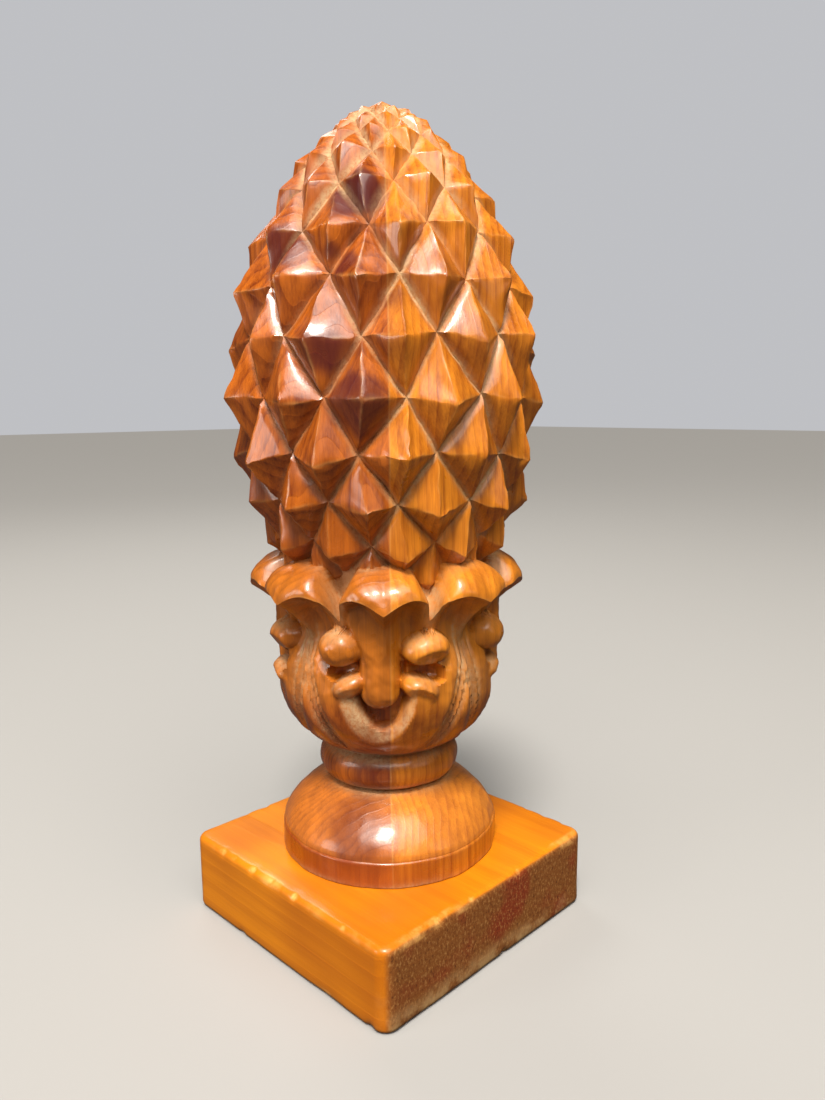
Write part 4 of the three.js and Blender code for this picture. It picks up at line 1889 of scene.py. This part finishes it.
@dataclass(frozen=True)
class BaseWood:
    """Honey varnished wood of the base block, its grain along X and its ends duller.

    Attributes:
        dark: Deep colour.
        light: Light colour.
        end: Colour of the end grain.
        end_stain: Colour of the darker patches on the end grain.
        end_speck: Colour of the pale pores of the end grain.
        bare: Colour of knocked arrises.
        end_pore: Colour of the dark pores of the end grain.
        end_scuff: Colour of the scuffs along the bottom of the ends.
        dust: Colour of the dust.
        coat_rough: Roughness of the varnish.
        shine: Strength of the wood's own reflection.
        relief: Strength of the grain's relief.
        relief_depth: Depth of the grain's relief, in metres.
    """

    dark: Colour = (0.38, 0.090, 0.003, 1.0)
    light: Colour = (0.64, 0.205, 0.005, 1.0)
    end: Colour = (0.20, 0.064, 0.012, 1.0)
    end_stain: Colour = (0.20, 0.030, 0.006, 1.0)
    end_speck: Colour = (0.46, 0.24, 0.075, 1.0)
    bare: Colour = (0.82, 0.46, 0.13, 1.0)
    end_pore: Colour = (0.045, 0.012, 0.004, 1.0)
    end_scuff: Colour = (0.50, 0.31, 0.13, 1.0)
    dust: Colour = (0.5, 0.38, 0.22, 1.0)
    coat_rough: float = 0.18
    shine: float = 0.25
    relief: float = 0.2
    relief_depth: float = 0.0004

    def build(self, effects: Effects) -> bpy.types.Material:
        """Makes the material.

        Args:
            effects: Shared effects.

        Returns:
            The material.
        """
        material = bpy.data.materials.new("base wood")
        material.use_nodes = True
        sketch = Sketch(material.node_tree)
        shader = material.node_tree.nodes["Principled BSDF"]
        coordinates = sketch.add("ShaderNodeTexCoord")
        place = coordinates.outputs["Object"]
        facing = sketch.split(coordinates.outputs["Normal"])[0]
        ends = sketch.span(sketch.maths("ABSOLUTE", facing), 0.6, 0.95)
        along = sketch.stretch(place, turn=(0.0, math.radians(90.0), 0.0), move=(0.11, 0.03, 0.0))
        grain = effects.use(sketch, effects.grain(), Place=along, Ring_spacing=0.0065)
        wood = sketch.mix(sketch.times(grain.outputs["Tone"], 0.6), self.light, self.dark)
        pool = sketch.span(sketch.noise(place, 24.0, 1.0), 0.4, 0.7, 0.0, 0.55)
        wood = sketch.mix(pool, wood, self.dark)
        blotch = sketch.span(sketch.noise(place, 42.0, 2.0), 0.5, 0.66)
        cut = sketch.mix(blotch, self.end, self.end_stain)
        pores = sketch.noise(sketch.stretch(place, (1.0, 1.0, 0.6)), 1100.0, 4.0, 0.75)
        cut = sketch.mix(sketch.span(pores, 0.5, 0.68, 0.0, 0.6), cut, self.end_speck)
        cut = sketch.mix(sketch.span(pores, 0.46, 0.34, 0.0, 0.7), cut, self.end_pore)
        low = sketch.span(sketch.split(place)[2], 0.009, 0.001)
        broken = sketch.span(sketch.noise(place, 60.0, 4.0, 0.7), 0.42, 0.62, 0.0, 0.75)
        cut = sketch.mix(sketch.times(low, broken), cut, self.end_scuff)
        wood = sketch.mix(ends, wood, cut)
        worn = effects.share(sketch, effects.wear(), place, Layer.WEAR, 0.85)
        dusty = effects.share(sketch, effects.dust(), place, Layer.DUST, 0.6)
        wood = sketch.mix(dusty, wood, self.dust)
        sketch.feed(shader.inputs["Base Color"], sketch.mix(worn, wood, self.bare))
        gloss = sketch.span(sketch.noise(place, 45.0, 3.0), 0.3, 0.7, 0.3, 0.46)
        rough = sketch.plus(gloss, sketch.times(ends, 0.25), clamp=True)
        sketch.feed(shader.inputs["Roughness"], rough)
        sketch.feed(shader.inputs["Coat Weight"], sketch.span(ends, 0.0, 1.0, 0.3, 0.04))
        shader.inputs["Coat Roughness"].default_value = self.coat_rough
        shader.inputs["Specular IOR Level"].default_value = self.shine
        bump = sketch.add("ShaderNodeBump")
        bump.inputs["Strength"].default_value = self.relief
        bump.inputs["Distance"].default_value = self.relief_depth
        sketch.feed(bump.inputs["Height"], grain.outputs["Relief"])
        sketch.feed(shader.inputs["Normal"], bump.outputs["Normal"])
        return material


@dataclass
class Piece:
    """One physical piece: its mesh, the node it stands for and its finish.

    Attributes:
        node: Node of the frame that the piece stands for.
        slot: Material slot of the record; not used.
        crease: Angle above which an edge stays sharp, in degrees.
    """

    node: str
    slot: str
    crease: float

    def shape(self) -> bpy.types.Object:
        """Makes the piece's mesh.

        Returns:
            The object.
        """
        raise NotImplementedError

    def build(self) -> bpy.types.Object:
        """Shapes the piece and sets its edges.

        Returns:
            The object.
        """
        made = self.shape()
        made.data.shade_smooth()
        made.data.set_sharp_from_angle(angle=math.radians(self.crease))
        return made

    def dress(self, made: bpy.types.Object, finish: bpy.types.Material) -> None:
        """Gives the piece its finish and its place in the frame.

        Args:
            made: The piece's object.
            finish: Its material.
        """
        made.data.materials.clear()
        made.data.materials.append(finish)
        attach(made, "root")
        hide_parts(self.node)
        made.data.calc_loop_triangles()
        log.info("%s: %d triangles in %s", made.name, len(made.data.loop_triangles), finish.name)


@dataclass
class CarvedFinial(Piece):
    """Foot, neck ring, leaf cup and fruit, carved as one."""

    node: str = "carved_finial"
    slot: str = "carved_wood"
    crease: float = 32.0
    foot: TurnedFoot = field(default_factory=TurnedFoot)
    cup: LeafCup = field(default_factory=LeafCup)
    fruit: ScaledFruit = field(default_factory=ScaledFruit)

    def shape(self) -> bpy.types.Object:
        """Carves the three parts of the blank and joins them into one solid.

        Returns:
            The object.
        """
        fruit = self.fruit.build().to_object("carved_pineapple_finial")
        cup = self.cup.build().to_object("leaf_cup")
        foot = self.foot.build().to_object("foot_and_neck")
        join_solids(fruit, [cup, foot])
        return fruit


@dataclass
class BaseBlock(Piece):
    """The square block."""

    node: str = "square_base"
    slot: str = "base_wood"
    crease: float = 40.0
    block: SquareBase = field(default_factory=SquareBase)

    def shape(self) -> bpy.types.Object:
        """Shapes the block.

        Returns:
            The object.
        """
        return self.block.build().to_object("square_base_block")


@dataclass(frozen=True)
class Softbox:
    """A soft studio light aimed at the finial.

    Attributes:
        name: Name of the light.
        place: Where it stands, in metres.
        size: Width of its face.
        power: Power in watts.
        colour: Colour of its light.
    """

    name: str
    place: Triple
    size: float
    power: float
    colour: Triple

    def build(self, aim: Vector) -> None:
        """Sets the light up.

        Args:
            aim: Point that it faces.
        """
        light = bpy.data.lights.new(self.name, "AREA")
        light.shape = "DISK"
        light.size = self.size
        light.energy = self.power
        light.color = self.colour
        made = bpy.data.objects.new(self.name, light)
        made.location = self.place
        made.rotation_euler = (aim - Vector(self.place)).to_track_quat("-Z", "Y").to_euler()
        bpy.context.scene.collection.objects.link(made)


@dataclass
class Studio:
    """Pale floor, soft lights and the camera at the photo's place.

    Attributes:
        turn: Polar angle of the camera, in degrees.
        distance: Distance of the camera from the finial's axis, in metres.
        height: Height of the camera.
        yaw: Turn of the camera to its right, in degrees.
        pitch: Tilt of the camera downwards, in degrees.
        roll: Roll of the camera, in degrees.
        lens: Focal length for a long side of 36 mm.
        aim: Height that the lights face, in metres.
        key_power: Strength of the key light.
        key_width: Angle that the key light fills, in degrees.
        key_colour: Colour of the key light.
        floor_reach: Half width of the floor, in metres.
        floor_seen: Colour of the floor to the camera.
        floor_bounce: Colour of the floor to the light that it throws back.
        sky: Colour of the room.
        sky_light: Strength of the room's light.
        sky_seen: Brightness of the room to the camera.
    """

    turn: float = -43.6
    distance: float = 0.293
    height: float = 0.183
    yaw: float = 1.77
    pitch: float = 9.6
    roll: float = -0.31
    lens: float = 27.82
    aim: float = 0.15
    key_power: float = 4.2
    key_width: float = 14.0
    key_colour: Triple = (1.0, 0.94, 0.86)
    floor_reach: float = 6.0
    floor_seen: Colour = (0.32, 0.318, 0.313, 1.0)
    floor_bounce: Colour = (0.03, 0.03, 0.03, 1.0)
    sky: Colour = (0.95, 0.96, 1.0, 1.0)
    sky_light: float = 0.04
    sky_seen: float = 0.55

    def build(self) -> None:
        """Sets up floor, sky, lights and camera."""
        bpy.context.scene.view_settings.view_transform = "Standard"
        self._floor()
        self._sky()
        turn = math.radians(self.turn)
        right = Vector((-math.sin(turn), math.cos(turn), 0.0))
        front = Vector((math.cos(turn), math.sin(turn), 0.0))
        up = Vector((0.0, 0.0, 1.0))
        aim = Vector((0.0, 0.0, self.aim))
        sun = bpy.data.lights.new("key", "SUN")
        sun.energy = self.key_power
        sun.angle = math.radians(self.key_width)
        sun.color = self.key_colour
        key = bpy.data.objects.new("key", sun)
        falling = 0.08 * right - 0.58 * front - 1.0 * up
        key.rotation_euler = falling.to_track_quat("-Z", "Y").to_euler()
        bpy.context.scene.collection.objects.link(key)
        boxes = (
            ("ceiling", 0.05 * right + 0.60 * front + 1.10 * up, 1.3, 19.0, (1.0, 0.94, 0.86)),
            ("window", -0.85 * right + 0.42 * front + 0.32 * up, 0.4, 2.8, (1.0, 0.95, 0.90)),
            ("fill", 0.95 * right + 0.75 * front + 0.5 * up, 0.5, 0.8, (1.0, 0.92, 0.82)),
            ("back", -0.3 * right - 0.8 * front + 0.9 * up, 0.5, 3.0, (1.0, 0.96, 0.9)),
        )
        for name, place, size, power, colour in boxes:
            Softbox(name, tuple(place), size, power, colour).build(aim)
        self._camera()

    def _floor(self) -> None:
        """Lays a wide pale floor."""
        mesh = bpy.data.meshes.new("floor")
        reach = self.floor_reach
        corners = [(reach * x, reach * y, 0.0) for x, y in ((-1, -1), (1, -1), (1, 1), (-1, 1))]
        mesh.from_pydata(corners, [], [(0, 1, 2, 3)])
        floor = bpy.data.objects.new("floor", mesh)
        bpy.context.scene.collection.objects.link(floor)
        paint = bpy.data.materials.new("floor paint")
        paint.use_nodes = True
        shader = paint.node_tree.nodes["Principled BSDF"]
        shader.inputs["Roughness"].default_value = 0.85
        sketch = Sketch(paint.node_tree)
        seen = sketch.add("ShaderNodeLightPath").outputs["Is Camera Ray"]
        sketch.feed(shader.inputs["Base Color"], sketch.mix(seen, self.floor_bounce, self.floor_seen))
        mesh.materials.append(paint)

    def _sky(self) -> None:
        """Fills the room with even pale light."""
        world = bpy.data.worlds.new("studio")
        world.use_nodes = True
        sketch = Sketch(world.node_tree)
        light = world.node_tree.nodes["Background"]
        light.inputs["Color"].default_value = self.sky
        seen = sketch.add("ShaderNodeLightPath").outputs["Is Camera Ray"]
        strength = sketch.span(seen, 0.0, 1.0, self.sky_light, self.sky_seen)
        sketch.feed(light.inputs["Strength"], strength)
        bpy.context.scene.world = world

    def _camera(self) -> None:
        """Puts the camera where the photo was taken."""
        yaw, pitch, roll = (math.radians(angle) for angle in (self.yaw, self.pitch, self.roll))
        ahead = Vector((math.sin(yaw) * math.cos(pitch), math.cos(yaw) * math.cos(pitch), -math.sin(pitch)))
        right = Vector((math.cos(yaw), -math.sin(yaw), 0.0))
        up = right.cross(ahead)
        turned_right = math.cos(roll) * right + math.sin(roll) * up
        turned_up = -math.sin(roll) * right + math.cos(roll) * up
        facing = Matrix((turned_right, turned_up, -ahead)).transposed()
        spin = Matrix.Rotation(math.radians(self.turn + 90.0), 3, "Z")
        camera = bpy.data.cameras.new("camera")
        camera.lens = self.lens
        camera.sensor_width = 36.0
        camera.clip_start = 0.01
        camera.dof.use_dof = False
        made = bpy.data.objects.new("camera", camera)
        stand = spin @ Vector((0.0, -self.distance, self.height))
        made.matrix_world = Matrix.Translation(stand) @ (spin @ facing).to_4x4()
        bpy.context.scene.collection.objects.link(made)
        bpy.context.scene.camera = made


def main() -> None:
    """Builds the pieces, dresses them and sets the studio up."""
    logging.basicConfig(level=logging.INFO, format="%(message)s")
    effects = Effects()
    base = BaseBlock()
    base.dress(base.build(), BaseWood().build(effects))
    carving = CarvedFinial()
    carving.dress(carving.build(), CarvedWood().build(effects))
    Studio().build()


if __name__ == "__main__":
    main()
